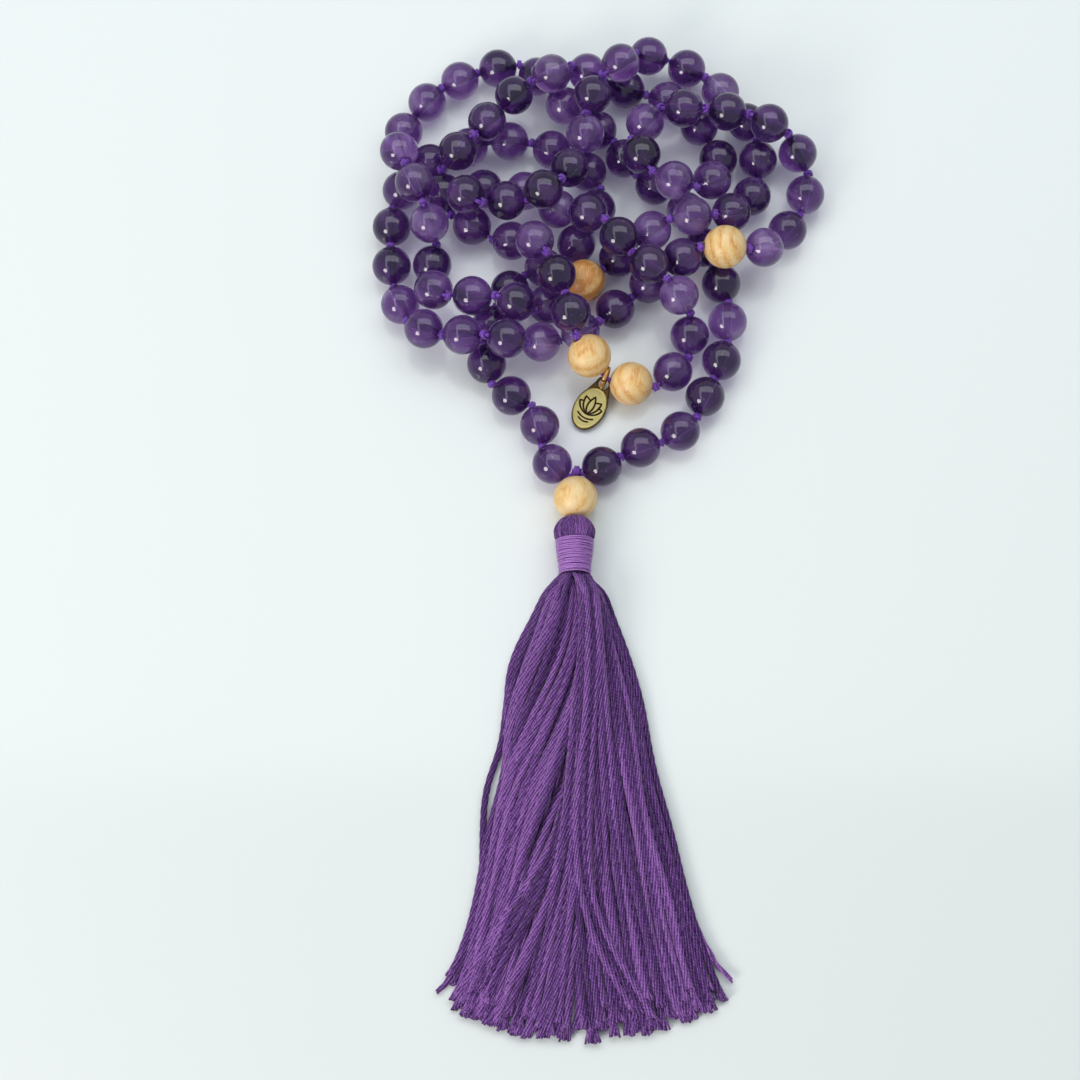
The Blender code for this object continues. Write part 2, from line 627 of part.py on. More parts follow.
def add_pile(markers, parent):
    """The closed loop that lies in a pile, with its markers and its charm."""
    for number, (indices, knotted) in enumerate(pile_runs(markers), 1):
        add_run(f"bead_run_{number:02d}", indices, knotted, parent)
    for number, index in enumerate(markers, 1):
        drilled_bead(f"wood_marker_{number}", WOOD_DIAMETER, WOOD_BORE, WOOD, parent,
                     CENTRES[index], AXES[index])
    add_marker_cord("marker_cord_1", [markers[0]], parent)
    add_marker_cord("charm_cord", markers[1:3], parent)
    add_marker_cord("marker_cord_4", [markers[3]], parent)
    add_charm(markers, parent)


def stand_on_origin(top):
    """Move the whole mala so that the middle of its box's underside is the origin."""
    bpy.context.view_layer.update()
    graph = bpy.context.evaluated_depsgraph_get()
    corners = []
    for item in MALA.objects:
        if item.type == "EMPTY":
            continue
        seen = item.evaluated_get(graph)
        mesh = seen.to_mesh()
        corners += [seen.matrix_world @ vertex.co for vertex in mesh.vertices]
        seen.to_mesh_clear()
    corners = np.array(corners)
    low, high = corners.min(axis=0), corners.max(axis=0)
    top.location = (-(low[0] + high[0]) / 2, -(low[1] + high[1]) / 2, -low[2])
    bpy.context.view_layer.update()


clear_scene()
MALA = new_collection("mala_prayer_beads")
PLACES, RADII, MARKERS = lay_out_strand()
GURU_WAY = unit(np.array(GURU_POINT) - np.array(GATHER_POINT))
GURU = PLACES[0] + GURU_WAY * (RADII[0] + GURU_GAP + WOOD_DIAMETER / 2)
CENTRES = settle(PLACES, RADII, MARKERS, GURU)
AXES = hole_axes(CENTRES, RADII)
ORIGIN = bpy.data.objects.new("mala_origin", None)
MALA.objects.link(ORIGIN)
FRONT = add_front(ORIGIN)
add_guru_and_tassel(GURU, FRONT)
add_pile(MARKERS, ORIGIN)
stand_on_origin(ORIGIN)
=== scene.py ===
# %% [markdown]
# # A knotted mala of amethyst, wood and cotton floss
# A mala is a loop of beads that is counted through the fingers. This one has 104 violet
# stone beads and four wood markers on one closed cord, with a knot between neighbours. Both
# ends of the cord meet, pass through a wood guru bead, and carry a long floss tassel. It lies
# on a pale table, its loop dropped in a loose pile, so most of the lesson is about one cord.

# %% Load the frame
import json
import math

import bmesh
import bpy
import numpy as np
from mathutils import Matrix, Vector


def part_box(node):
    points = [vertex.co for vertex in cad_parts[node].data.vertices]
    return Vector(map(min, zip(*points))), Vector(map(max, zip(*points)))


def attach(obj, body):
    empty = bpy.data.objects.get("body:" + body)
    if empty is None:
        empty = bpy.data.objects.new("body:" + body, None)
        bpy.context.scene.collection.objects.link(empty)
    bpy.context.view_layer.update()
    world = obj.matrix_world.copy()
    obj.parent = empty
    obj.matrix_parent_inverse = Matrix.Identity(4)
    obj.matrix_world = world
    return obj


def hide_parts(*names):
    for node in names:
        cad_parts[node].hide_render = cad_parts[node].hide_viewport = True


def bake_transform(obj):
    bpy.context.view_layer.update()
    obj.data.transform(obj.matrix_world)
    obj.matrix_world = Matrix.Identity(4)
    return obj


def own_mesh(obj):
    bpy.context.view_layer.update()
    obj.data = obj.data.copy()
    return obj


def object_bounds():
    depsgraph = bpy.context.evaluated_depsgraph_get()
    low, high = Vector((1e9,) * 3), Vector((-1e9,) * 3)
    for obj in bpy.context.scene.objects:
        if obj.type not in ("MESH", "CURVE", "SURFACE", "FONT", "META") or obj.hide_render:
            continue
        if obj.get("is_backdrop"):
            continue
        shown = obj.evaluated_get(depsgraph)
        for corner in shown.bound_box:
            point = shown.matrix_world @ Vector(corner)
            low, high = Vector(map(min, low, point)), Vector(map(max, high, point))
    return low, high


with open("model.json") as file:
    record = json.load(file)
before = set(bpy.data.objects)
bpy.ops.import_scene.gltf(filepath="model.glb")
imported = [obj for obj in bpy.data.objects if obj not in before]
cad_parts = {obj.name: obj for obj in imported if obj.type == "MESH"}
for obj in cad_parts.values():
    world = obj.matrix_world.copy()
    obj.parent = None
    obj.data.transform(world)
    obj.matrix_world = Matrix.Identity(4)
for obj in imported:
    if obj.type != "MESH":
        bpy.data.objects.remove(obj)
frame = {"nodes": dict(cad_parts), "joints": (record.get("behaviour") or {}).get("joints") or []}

CAD_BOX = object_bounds()
MM = 0.001

# %% [markdown]
# ## Where the strand lies
# The route is a list of bead middles, in stringing order. Beads can't pass
# through each other and a knot holds neighbours a fixed way apart, so a short relaxation
# moves each bead the little that these rules ask. It is the same rule as the solid model
# follows, so every bead lands on its solid.

# %% Sizes of the strand
BEAD_DIAMETER = 8.0 * MM
WOOD_DIAMETER = 8.7 * MM
CORD_DIAMETER = 0.8 * MM
KNOT_GAP = 0.7 * MM             # from bead to bead
CHARM_GAP = 1.8 * MM            # between the two markers with the charm between them
CLEARANCE = 0.3 * MM
GATHER_KNOT_DIAMETER = 1.6 * MM
GATHER_GAP = 0.5 * MM           # from the gather knot to the beads beside it
GURU_GAP = 0.4 * MM             # from the gather knot to the guru bead
GURU_CLEARANCE = 0.2 * MM

# %% The route, in millimetres
LAID_STEP = 8.7
GATHER_POINT = (7.3, 12.9, 4.2)
GURU_POINT = (7.0, 7.3, 4.4)
FIRST_QUARTER = [
    (12, 14, 4), (20, 18, 4), (28, 21.5, 4), (33, 29, 4), (36.5, 37, 4), (38, 45, 4),
    (37, 53.5, 4), (33, 60.5, 4), (30, 70, 4), (24, 75.5, 4), (17.5, 82, 4), (12, 88.5, 4),
    (5, 94.5, 4), (-0.5, 101, 4), (-9, 103, 4), (-17, 100, 4), (-24, 94.5, 4), (-28, 89, 4),
    (-29, 81, 9), (-25.5, 72, 11), (-22.5, 64.5, 8.5), (-22.5, 58, 4), (-21, 50, 8.5),
    (-14, 47.5, 10), (-5.5, 46.5, 9.5), (1.5, 49.5, 4),
]
FIRST_MARKER = (9.5, 54, 4.5)
SECOND_QUARTER = [
    (15.5, 59, 4), (23, 63.5, 8.5), (31, 65.5, 10), (39, 67.5, 8.5), (44, 74, 4),
    (46, 81.5, 4), (43, 90, 4), (38, 97.5, 4), (31, 103, 4), (23.5, 104.5, 6),
    (16, 98.5, 11), (11, 92.5, 10), (9.5, 84.5, 10), (6.5, 76.5, 10), (0, 70, 12.5),
    (-7, 69.5, 9), (-13.5, 69.5, 11), (-11.5, 74.5, 4.5), (-4, 73, 4), (3, 70.5, 5),
    (10, 64.5, 10), (16, 60, 12), (22, 54.5, 11), (28, 49, 9), (30.5, 42, 4), (26.5, 34, 4),
]
SECOND_MARKER = (18, 32, 4.5)
THIRD_MARKER = (10.5, 36, 7.5)
THIRD_QUARTER = [
    (6.5, 43, 11.5), (3, 53, 11.5), (0, 58.5, 10.5), (-6.5, 64, 4.5), (-14, 66.5, 4),
    (-19, 73.5, 5), (-17.5, 80, 10), (-11, 86.5, 11), (-4.5, 95, 9), (2.5, 98, 10),
    (9.5, 100.5, 7), (18, 99, 4), (27, 95.5, 4), (33.5, 89, 4), (37.5, 82, 4),
    (35, 74.5, 8.5), (27.5, 73.5, 10.5), (20.5, 78.5, 11), (22, 88.5, 8.5), (29.5, 89.5, 11),
    (38.5, 89.5, 10), (47, 86.5, 9.5), (53, 82, 5), (55, 73.5, 4), (51, 65.5, 4),
    (45, 59.5, 8.5),
]
FOURTH_MARKER = (37.5, 58.5, 10.5)
FOURTH_QUARTER = [
    (29.5, 57.5, 8.5), (22, 53.5, 4), (15, 48, 4), (8, 42.5, 4), (1, 40.5, 4.5),
    (-7.5, 39, 10), (-15.5, 40, 8.5), (-22.5, 42, 7.5), (-28.5, 49, 4), (-30, 57.5, 4),
    (-30.5, 66.5, 4), (-28.5, 74.5, 4), (-23, 80.5, 4), (-15, 84, 4), (-6.5, 86, 4),
    (2.5, 84, 4), (9.5, 78.5, 4), (11, 71, 4), (7, 62.5, 4), (0.5, 57.5, 4),
    (-5.5, 51.5, 4.5), (-10, 44.5, 4), (-10, 36, 4), (-5.5, 29, 4), (-0.5, 22, 4),
    (3.5, 14.5, 4),
]
FRONT_RIGHT_BEADS = 4
FRONT_LEFT_BEADS = 3
route = [GATHER_POINT] + FIRST_QUARTER + [FIRST_MARKER] + SECOND_QUARTER
route += [SECOND_MARKER, THIRD_MARKER] + THIRD_QUARTER + [FOURTH_MARKER] + FOURTH_QUARTER
MARKERS = [i for i, point in enumerate(route)
           if point in (FIRST_MARKER, SECOND_MARKER, THIRD_MARKER, FOURTH_MARKER)]
print("beads and markers:", len(route) - 1, " markers at", MARKERS)


# %% Settle the strand
SETTLE_ROUNDS = 900
FREE_ROUNDS = 675               # rounds in which beads are still drawn to their places
PULL = 0.02                     # share of the way back to its place that a bead takes
KNOT_SQUEEZE = 0.18 * MM
KNOT_STRETCH = 0.30 * MM


def unit(vectors):
    return vectors / np.linalg.norm(vectors, axis=-1, keepdims=True)


def settle(places, radii, guru):
    """Move the beads as little as it takes until neighbours are a knot apart along the
    cord, no two beads touch, and none sinks into the table."""
    spots = places.copy()
    count = len(spots)
    near = np.arange(count)
    following = (near + 1) % count
    length = radii[near] + radii[following] + KNOT_GAP
    length[[0, -1]] = radii[0] + radii[1] + GATHER_GAP
    length[MARKERS[1]] = WOOD_DIAMETER + CHARM_GAP
    low, high = length - KNOT_SQUEEZE, length + KNOT_STRETCH
    left, right = np.triu_indices(count, 1)
    apart = (right - left > 1) & (right - left < count - 1)
    left, right = left[apart], right[apart]
    reach = radii[left] + radii[right] + CLEARANCE
    guru_reach = radii + WOOD_DIAMETER / 2 + GURU_CLEARANCE
    for turn in range(SETTLE_ROUNDS):
        if turn < FREE_ROUNDS:
            spots += PULL * (places - spots)
        for parity in (0, 1):
            link = spots[following] - spots[near]
            size = np.linalg.norm(link, axis=1)
            excess = size - np.clip(size, low, high)
            shift = link / size[:, None] * (excess / 2)[:, None]
            chosen = near % 2 == parity
            np.add.at(spots, near[chosen], shift[chosen])
            np.add.at(spots, following[chosen], -shift[chosen])
        gap = spots[right] - spots[left]
        size = np.linalg.norm(gap, axis=1)
        close = size < reach
        push = gap[close] / size[close, None] * ((reach - size)[close] / 2)[:, None]
        np.add.at(spots, right[close], push)
        np.add.at(spots, left[close], -push)
        away = spots - guru
        size = np.linalg.norm(away, axis=1)
        close = size < guru_reach
        close[0] = False
        spots[close] += away[close] / size[close, None] * (guru_reach - size)[close, None]
        spots[:, 2] = np.maximum(spots[:, 2], radii)
        spots[0] = places[0]
    return spots


RADII = np.full(len(route), BEAD_DIAMETER / 2)
RADII[0] = GATHER_KNOT_DIAMETER / 2
RADII[MARKERS] = WOOD_DIAMETER / 2
places = np.array(route) * (BEAD_DIAMETER + KNOT_GAP) / LAID_STEP
guru_way = unit(np.array(GURU_POINT) - np.array(GATHER_POINT))
guru = places[0] + guru_way * (RADII[0] + GURU_GAP + WOOD_DIAMETER / 2)
CENTRES = settle(places, RADII, guru)

# %% [markdown]
# The solid model stands on its own origin, and the route has another. The guru bead is in
# both, so the difference between its two places moves the whole strand, and the camera
# later on. Each bead's hole is then turned until the mouths of neighbours nearly meet, as the
# pull of the cord turns it.


# %% Move to the model's origin, and aim the holes
def middle(node):
    low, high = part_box(node)
    return (np.array(low) + np.array(high)) / 2


joint_at = {joint["name"]: Vector(joint["pos_m"]) for joint in frame["joints"]}
MOVE = middle("guru_bead") - guru
MOVE[2] = 0.0
CENTRES = CENTRES + MOVE
GURU = guru + MOVE
AIM_ROUNDS = 40
AIM_PULL = 0.1
GATHER_PULL = 0.5


def hole_axes(centres, radii):
    """The way each bead's hole points, from the bead before it to the bead after it."""
    reach = radii[:, None].copy()
    reach[0] = 0
    pull = np.full((len(centres), 1), AIM_PULL)
    pull[[0, -1]] *= GATHER_PULL
    axes = unit(np.roll(centres, -1, axis=0) - np.roll(centres, 1, axis=0))
    for _ in range(AIM_ROUNDS):
        leaving, entering = centres + axes * reach, centres - axes * reach
        offset = pull * (np.roll(entering, -1, axis=0) - leaving)
        turn = offset + np.roll(offset, 1, axis=0)
        axes[1:] = unit(axes[1:] + turn[1:] / reach[1:])
    return axes


AXES = hole_axes(CENTRES, RADII)
for number, index in enumerate(MARKERS, 1):
    miss = np.linalg.norm(CENTRES[index] - middle(f"wood_marker_{number}")) / MM
    print(f"wood marker {number} is {miss:.3f} mm from its solid")

# %% [markdown]
# ## Camera
# A camera stands at a real distance with a real lens. This one looks down on the table from
# 0.4 m away, tilted 17 degrees from straight down, so the near side of each bead shows a
# little more than its top.


# %% Camera
def add_object(name, data):
    """An object in the scene with this mesh, curve, lamp or camera."""
    made = bpy.data.objects.new(name, data)
    bpy.context.scene.collection.objects.link(made)
    return made


CAMERA_DISTANCE = 396.8 * MM
CAMERA_TILT = math.radians(17.0)
FILM_WIDTH = 36.0
LENS = FILM_WIDTH * 2000 / 1080         # the focal length is 1.85 times the picture's width
aim_point = Vector(MOVE)
sight_line = Vector((0, math.sin(CAMERA_TILT), -math.cos(CAMERA_TILT)))
camera_data = bpy.data.cameras.new("camera")
camera_data.sensor_width = FILM_WIDTH
camera_data.lens = LENS
camera_data.clip_start = 0.01
camera = add_object("camera", camera_data)
camera.location = aim_point - sight_line * CAMERA_DISTANCE
camera.rotation_euler = (CAMERA_TILT, 0, 0)
bpy.context.scene.camera = camera
bpy.context.scene.view_settings.view_transform = "Standard"
print("camera at", [round(value, 3) for value in camera.location])

# %% [markdown]
# ## Small tools for nodes
# Materials and Geometry Nodes are both built from the same three things: a node, its
# settings and its links. One function adds a node with all of them, and a second gives
# inputs to a node that is already there. Most sums are weighted ones, so a third chains
# them. Colours are written as hex values, as on a paint card, and turned to the linear
# numbers that the renderer adds up.


# %% Helpers for nodes and colours
MATH = "ShaderNodeMath"
RAMP = "ShaderNodeValToRGB"


def colour(code):
    """A hex colour such as "#6a3b9c" as linear red, green, blue and alpha."""
    parts = [int(code[i:i + 2], 16) / 255 for i in (1, 3, 5)]
    linear = [p / 12.92 if p <= 0.04045 else ((p + 0.055) / 1.055) ** 2.4 for p in parts]
    return (*linear, 1.0)


def set_inputs(tree, node, inputs):
    """Give a node its inputs: a value, or a socket that the input is linked to."""
    for key, value in inputs.items():
        if isinstance(value, bpy.types.NodeSocket):
            tree.links.new(value, node.inputs[key])
        else:
            node.inputs[key].default_value = value


def add_node(tree, kind, inputs=None, stops=(), **settings):
    """A node with its settings, its inputs by name or in order, and a colour ramp's stops,
    which are pairs of a place and a hex colour."""
    made = tree.nodes.new(kind)
    for name, value in settings.items():
        setattr(made, name, value)
    set_inputs(tree, made, dict(enumerate(inputs)) if type(inputs) is tuple else inputs or {})
    if stops:
        points = made.color_ramp.elements
        while len(points) < len(stops):
            points.new(0.5)
        for point, (place, code) in zip(points, stops):
            point.position = place
            point.color = colour(code)
    return made


def weigh(tree, *parts, start=0.0):
    """The sum of these (socket, weight) pairs, each socket times its weight."""
    total = start
    for socket, weight in parts:
        total = add_node(tree, MATH, (socket, weight, total),
                         operation="MULTIPLY_ADD").outputs["Value"]
    return total


def turned(tree, angle):
    """The cosine and the sine of an angle."""
    return [add_node(tree, MATH, (angle,), operation=part).outputs["Value"]
            for part in ("COSINE", "SINE")]


def new_material(name):
    """An empty material: its tree and its Principled shader."""
    material = bpy.data.materials.new(name)
    material.use_nodes = True
    tree = material.node_tree
    return material, tree, tree.nodes["Principled BSDF"]


def repaint(material, name, codes):
    """A copy of a material whose colour ramp starts with these hex colours."""
    made = material.copy()
    made.name = name
    for point, code in zip(made.node_tree.nodes["Color Ramp"].color_ramp.elements, codes):
        point.color = colour(code)
    return made


def texture_scale(millimetres):
    """The scale at which a texture on metres repeats about every so many millimetres."""
    return 1 / (millimetres * MM)


def wave_scale(millimetres):
    """The same for a wave texture, whose bands come about twice as far apart as that."""
    return texture_scale(millimetres) / 6.28


def new_geometry_tree(name, inputs):
    """A Geometry Nodes tree with named inputs: (name, socket type, default)."""
    tree = bpy.data.node_groups.new(name, "GeometryNodeTree")
    tree.interface.new_socket("Geometry", in_out="INPUT", socket_type="NodeSocketGeometry")
    for label, kind, default in inputs:
        socket = tree.interface.new_socket(label, in_out="INPUT", socket_type=kind)
        if default is not None:
            socket.default_value = default
    tree.interface.new_socket("Geometry", in_out="OUTPUT", socket_type="NodeSocketGeometry")
    return tree, tree.nodes.new("NodeGroupInput"), tree.nodes.new("NodeGroupOutput")


def finish_tree(tree, given, out, geometry):
    """End a tree with real geometry that has its material on it."""
    solid = add_node(tree, "GeometryNodeRealizeInstances", {"Geometry": geometry})
    dressed = add_node(tree, "GeometryNodeSetMaterial", {
        "Geometry": solid.outputs["Geometry"], "Material": given.outputs["Material"]})
    tree.links.new(dressed.outputs["Geometry"], out.inputs["Geometry"])


def put_on_points(tree, given, out, shape, **more):
    """End a tree with a shape on every point, its Z turned to the point's way."""
    way = add_node(tree, "GeometryNodeInputNamedAttribute", {"Name": "way"},
                   data_type="FLOAT_VECTOR")
    turn = add_node(tree, "FunctionNodeAlignRotationToVector",
                    {"Vector": way.outputs["Attribute"]}, axis="Z")
    placed = add_node(tree, "GeometryNodeInstanceOnPoints", {
        "Points": given.outputs["Geometry"], "Instance": shape,
        "Rotation": turn.outputs["Rotation"], **more})
    finish_tree(tree, given, out, placed.outputs["Instances"])


def plain_mesh(holder):
    """The mesh that an object's modifiers or bevel make. The object itself goes."""
    graph = bpy.context.evaluated_depsgraph_get()
    mesh = bpy.data.meshes.new_from_object(holder.evaluated_get(graph))
    bpy.data.objects.remove(holder, do_unlink=True)
    return mesh


def grow(name, base, tree, values):
    """Run a tree on a base mesh with the values for its named inputs, and keep the result
    as a plain mesh object at the origin."""
    holder = add_object(name, base)
    modifier = holder.modifiers.new(name, "NODES")
    modifier.node_group = tree
    for item in tree.interface.items_tree:
        if item.item_type == "SOCKET" and item.in_out == "INPUT" and item.name in values:
            modifier[item.identifier] = values[item.name]
    mesh = plain_mesh(holder)
    mesh.name = name
    print(f"{name}: {len(mesh.polygons)} faces")
    return add_object(name, mesh)


def base_points(name, places, edges=(), **attributes):
    """A mesh of points, or of chains of points, with named attributes on its points."""
    mesh = bpy.data.meshes.new(name)
    mesh.from_pydata([tuple(place) for place in places], list(edges), [])
    for label, values in attributes.items():
        values = np.asarray(values, dtype=float)
        kind = "FLOAT_VECTOR" if values.ndim == 2 else "FLOAT"
        field = "vector" if values.ndim == 2 else "value"
        mesh.attributes.new(label, kind, "POINT").data.foreach_set(field, values.ravel())
    return mesh


def dress(piece, body, slot, *solids):
    """Say which body a piece rides on and which solids it stands for. The slot is not used."""
    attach(piece, body)
    if solids:
        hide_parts(*solids)


# %% [markdown]
# ## The cord
# One cord of braided nylon, 0.8 mm thick and just over a metre long, runs through every bead.
# Inside a bead it follows the hole, and between beads it bends from one mouth to the next.
# Its route is worked out from the beads, so cord and holes can't miss each other. It is
# a curve with a round bevel.

# %% Route of the cord
LINK_POINTS = 5
LINK_PULL = 0.9                 # of a link's length: how far it keeps to the hole's direction


def mouth(index, side, share=1.0):
    """A point on a bead's hole axis: side 1 is where the strand leaves it, -1 enters."""
    return CENTRES[index] + AXES[index] * side * RADII[index] * share


def link_points(here, there, count):
    """Points between two beads, on a curve that leaves and enters along their holes."""
    start, end = mouth(here, 1), mouth(there, -1)
    pull = np.linalg.norm(end - start) * LINK_PULL
    points = []
    for share in np.linspace(0, 1, count + 2)[1:-1]:
        points.append(
            start * (2 * share ** 3 - 3 * share ** 2 + 1)
            + AXES[here] * pull * (share ** 3 - 2 * share ** 2 + share)
            + end * (3 * share ** 2 - 2 * share ** 3)
            + AXES[there] * pull * (share ** 3 - share ** 2))
    return points


last_bead = len(CENTRES) - 1
first_way = unit(mouth(1, -1) - CENTRES[0])
last_way = unit(mouth(last_bead, 1) - CENTRES[0])
into_gather = 0.4 * GATHER_KNOT_DIAMETER
cord_route = [CENTRES[0] + first_way * into_gather]
for index in range(1, last_bead + 1):
    cord_route += [mouth(index, -1), mouth(index, -1, 0.5), mouth(index, 1, 0.5)]
    cord_route.append(mouth(index, 1))
    if index < last_bead:
        cord_route += link_points(index, index + 1, LINK_POINTS)
cord_route = np.array(cord_route + [CENTRES[0] + last_way * into_gather])

# %% [markdown]
# Braided nylon has a tight plait with a soft gloss. Seen whole it is a strong blue-violet,
# a good deal brighter than the stone it runs through.

# %% Braided nylon
nylon, tree, shader = new_material("nylon_cord_braided_violet")
place = add_node(tree, "ShaderNodeTexCoord").outputs["Object"]
# The strands that show in the plait of a 0.8 mm cord are about 0.3 mm wide.
plait_relief_and_shade = add_node(tree, "ShaderNodeTexVoronoi", {
    "Vector": place, "Scale": texture_scale(0.32)}).outputs["Distance"]
# The violet is lighter in the middle of each strand of the plait and darker between strands, a
# painted highlight and painted shade.
shade = add_node(tree, RAMP, {"Fac": plait_relief_and_shade}, stops=[
    (0.0, "#9448cf"), (0.5, "#6829a6"), (0.9, "#3a1466")]).outputs["Color"]
bump = add_node(tree, "ShaderNodeBump", {
    "Height": plait_relief_and_shade, "Strength": 0.5, "Distance": 0.1 * MM}, invert=True)
set_inputs(tree, shader, {
    "Base Color": shade, "Normal": bump.outputs["Normal"], "Roughness": 0.35,
    "Sheen Weight": 0.3})


# %% The cord itself
def round_curve(name, points, diameter, material, sides=4, cyclic=False):
    """A round cord or wire through points."""
    curve = bpy.data.curves.new(name, "CURVE")
    curve.dimensions = "3D"
    curve.bevel_depth = diameter / 2
    curve.bevel_resolution = sides // 2
    curve.use_fill_caps = not cyclic
    spline = curve.splines.new("POLY")
    spline.points.add(len(points) - 1)
    for knot, point in zip(spline.points, points):
        knot.co = (*point, 1.0)
    spline.use_cyclic_u = cyclic
    spline.use_smooth = True
    curve.materials.append(material)
    return add_object(name, curve)


def as_mesh(piece):
    """The curve's surface as a plain mesh object of the same name."""
    name, curve = piece.name, piece.data
    mesh = plain_mesh(piece)
    bpy.data.curves.remove(curve)
    return add_object(name, mesh)


cord = as_mesh(round_curve("stringing_cord", cord_route, CORD_DIAMETER, nylon))
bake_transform(cord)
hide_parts("front_cord", "marker_cord_1", "charm_cord", "marker_cord_4")

# %% [markdown]
# ## Drilled beads
# A bead is a ball with a hole through it. Its half section is an arc closed by the wall of
# the hole, and turning that once round the hole's axis makes the whole bead. In Geometry
# Nodes the arc is swept along a circle as wide as the hole, and the bead is then put on every
# point of a base mesh and turned to the way that point says. All 104 stones come from this
# tree, and so do the wood beads, with their own diameter and more faces.

# %% Tree for drilled beads
bead_tree, given, out = new_geometry_tree("drilled_beads", [
    ("Diameter", "NodeSocketFloat", BEAD_DIAMETER), ("Bore", "NodeSocketFloat", 1.4 * MM),
    ("Sides", "NodeSocketInt", 24), ("Rings", "NodeSocketInt", 15),
    ("Material", "NodeSocketMaterial", None)])

radius = weigh(bead_tree, (given.outputs["Diameter"], 0.5))
bore = weigh(bead_tree, (given.outputs["Bore"], 0.5))
steep = add_node(bead_tree, MATH, (bore, radius), operation="DIVIDE").outputs["Value"]
half_sweep = add_node(bead_tree, MATH, (steep,), operation="ARCCOSINE").outputs["Value"]
arc = add_node(bead_tree, "GeometryNodeCurveArc", {
    "Resolution": given.outputs["Rings"], "Radius": radius,
    "Start Angle": weigh(bead_tree, (half_sweep, -1.0)),
    "Sweep Angle": weigh(bead_tree, (half_sweep, 2.0))}, mode="RADIUS")
closed = add_node(bead_tree, "GeometryNodeSetSplineCyclic",
                  {"Geometry": arc.outputs["Curve"], "Cyclic": True})
inward = add_node(bead_tree, "ShaderNodeCombineXYZ", {"X": weigh(bead_tree, (bore, -1.0))})
section = add_node(bead_tree, "GeometryNodeTransform", {
    "Geometry": closed.outputs["Geometry"], "Translation": inward.outputs["Vector"]})
hole = add_node(bead_tree, "GeometryNodeCurvePrimitiveCircle",
                {"Resolution": given.outputs["Sides"], "Radius": bore})
bead = add_node(bead_tree, "GeometryNodeCurveToMesh", {
    "Curve": hole.outputs["Curve"], "Profile Curve": section.outputs["Geometry"]})
put_on_points(bead_tree, given, out, bead.outputs["Mesh"])


def string_beads(name, centres, axes, tones, kind, body, slot, *solids):
    """Beads of one kind at these places, as one mesh on one body."""
    piece = grow(name, base_points(name, centres, way=axes, tone=tones), bead_tree, kind)
    piece.data.shade_smooth()
    piece.data.set_sharp_from_angle(angle=math.radians(50))     # at the rims of the hole
    dress(piece, body, slot, *solids)


# %% [markdown]
# Amethyst is quartz, so it bends light like glass with an index of 1.54, and it is tumbled to
# a mirror gloss. It is never even: violet gathers in soft bands with milky veils between
# them, and each stone of a string is a little lighter or darker than the next. Most of the
# light goes through and a part is scattered inside, so the shader is part glass and part
# plain violet, and the clouds colour both.

# %% Polished amethyst
amethyst, tree, shader = new_material("amethyst_tumbled_cloudy_violet")
place = add_node(tree, "ShaderNodeTexCoord").outputs["Object"]
tone = add_node(tree, "ShaderNodeAttribute", attribute_name="tone").outputs["Fac"]
# Each stone is cut from other rock, so its tone also moves the pattern.
shift = add_node(tree, "ShaderNodeCombineXYZ", {
    "X": weigh(tree, (tone, 7.0)), "Z": weigh(tree, (tone, 3.0))})
rock = add_node(tree, "ShaderNodeVectorMath",
                {0: place, 1: shift.outputs["Vector"]}, operation="ADD").outputs["Vector"]
clouds = add_node(tree, "ShaderNodeTexNoise", {
    "Vector": rock, "Scale": texture_scale(6.0), "Detail": 2.5, "Roughness": 0.5,
    "Distortion": 0.8}).outputs["Fac"]
bands = add_node(tree, "ShaderNodeTexWave", {
    "Vector": rock, "Scale": wave_scale(3.2), "Distortion": 3.0, "Detail": 2.0,
    "Detail Scale": 0.6}, bands_direction="DIAGONAL").outputs["Fac"]
depth = weigh(tree, (clouds, 0.75), (bands, 0.18), (tone, 0.37), start=0.03)
stone = add_node(tree, RAMP, {"Fac": depth}, stops=[
    (0.42, "#3d2659"), (0.60, "#603480"), (0.80, "#8256a2"), (1.0, "#b196ca")])
# Near its outline a bead is thin, so it is clearer there; its colour is also paler there, a
# painted rim light.
rim_light_and_clearness = add_node(tree, "ShaderNodeMapRange", {
    "Value": add_node(tree, "ShaderNodeLayerWeight", {"Blend": 0.5}).outputs["Facing"],
    "From Min": 0.45, "From Max": 0.95}, interpolation_type="SMOOTHSTEP").outputs["Result"]
paler = add_node(tree, "ShaderNodeMix", {
    "Factor": weigh(tree, (rim_light_and_clearness, 0.6)), "B": colour("#b9a8cc")}, data_type="RGBA")
tree.links.new(stone.outputs["Color"], paler.inputs[6])
# Specks of milky quartz hang in the stone, about 0.3 mm across and some way apart.
specks = add_node(tree, "ShaderNodeMapRange", {
    "Value": add_node(tree, "ShaderNodeTexVoronoi", {
        "Vector": rock, "Scale": texture_scale(1.5)}).outputs["Distance"],
    "From Min": 0.08, "From Max": 0.16, "To Min": 1.0, "To Max": 0.0}).outputs["Result"]
speckled = add_node(tree, "ShaderNodeMix", {"B": colour("#d8cce4")}, data_type="RGBA")
tree.links.new(weigh(tree, (specks, clouds)), speckled.inputs["Factor"])
tree.links.new(paler.outputs[2], speckled.inputs[6])
# Where it is milky less light goes straight through.
clear = add_node(tree, "ShaderNodeMapRange", {
    "Value": depth, "From Min": 0.5, "From Max": 1.0, "To Min": 0.8, "To Max": 0.7})
set_inputs(tree, shader, {
    "Base Color": speckled.outputs[2], "Roughness": 0.03, "IOR": 1.54,
    "Transmission Weight": weigh(tree, (rim_light_and_clearness, 0.15), start=clear.outputs["Result"])})
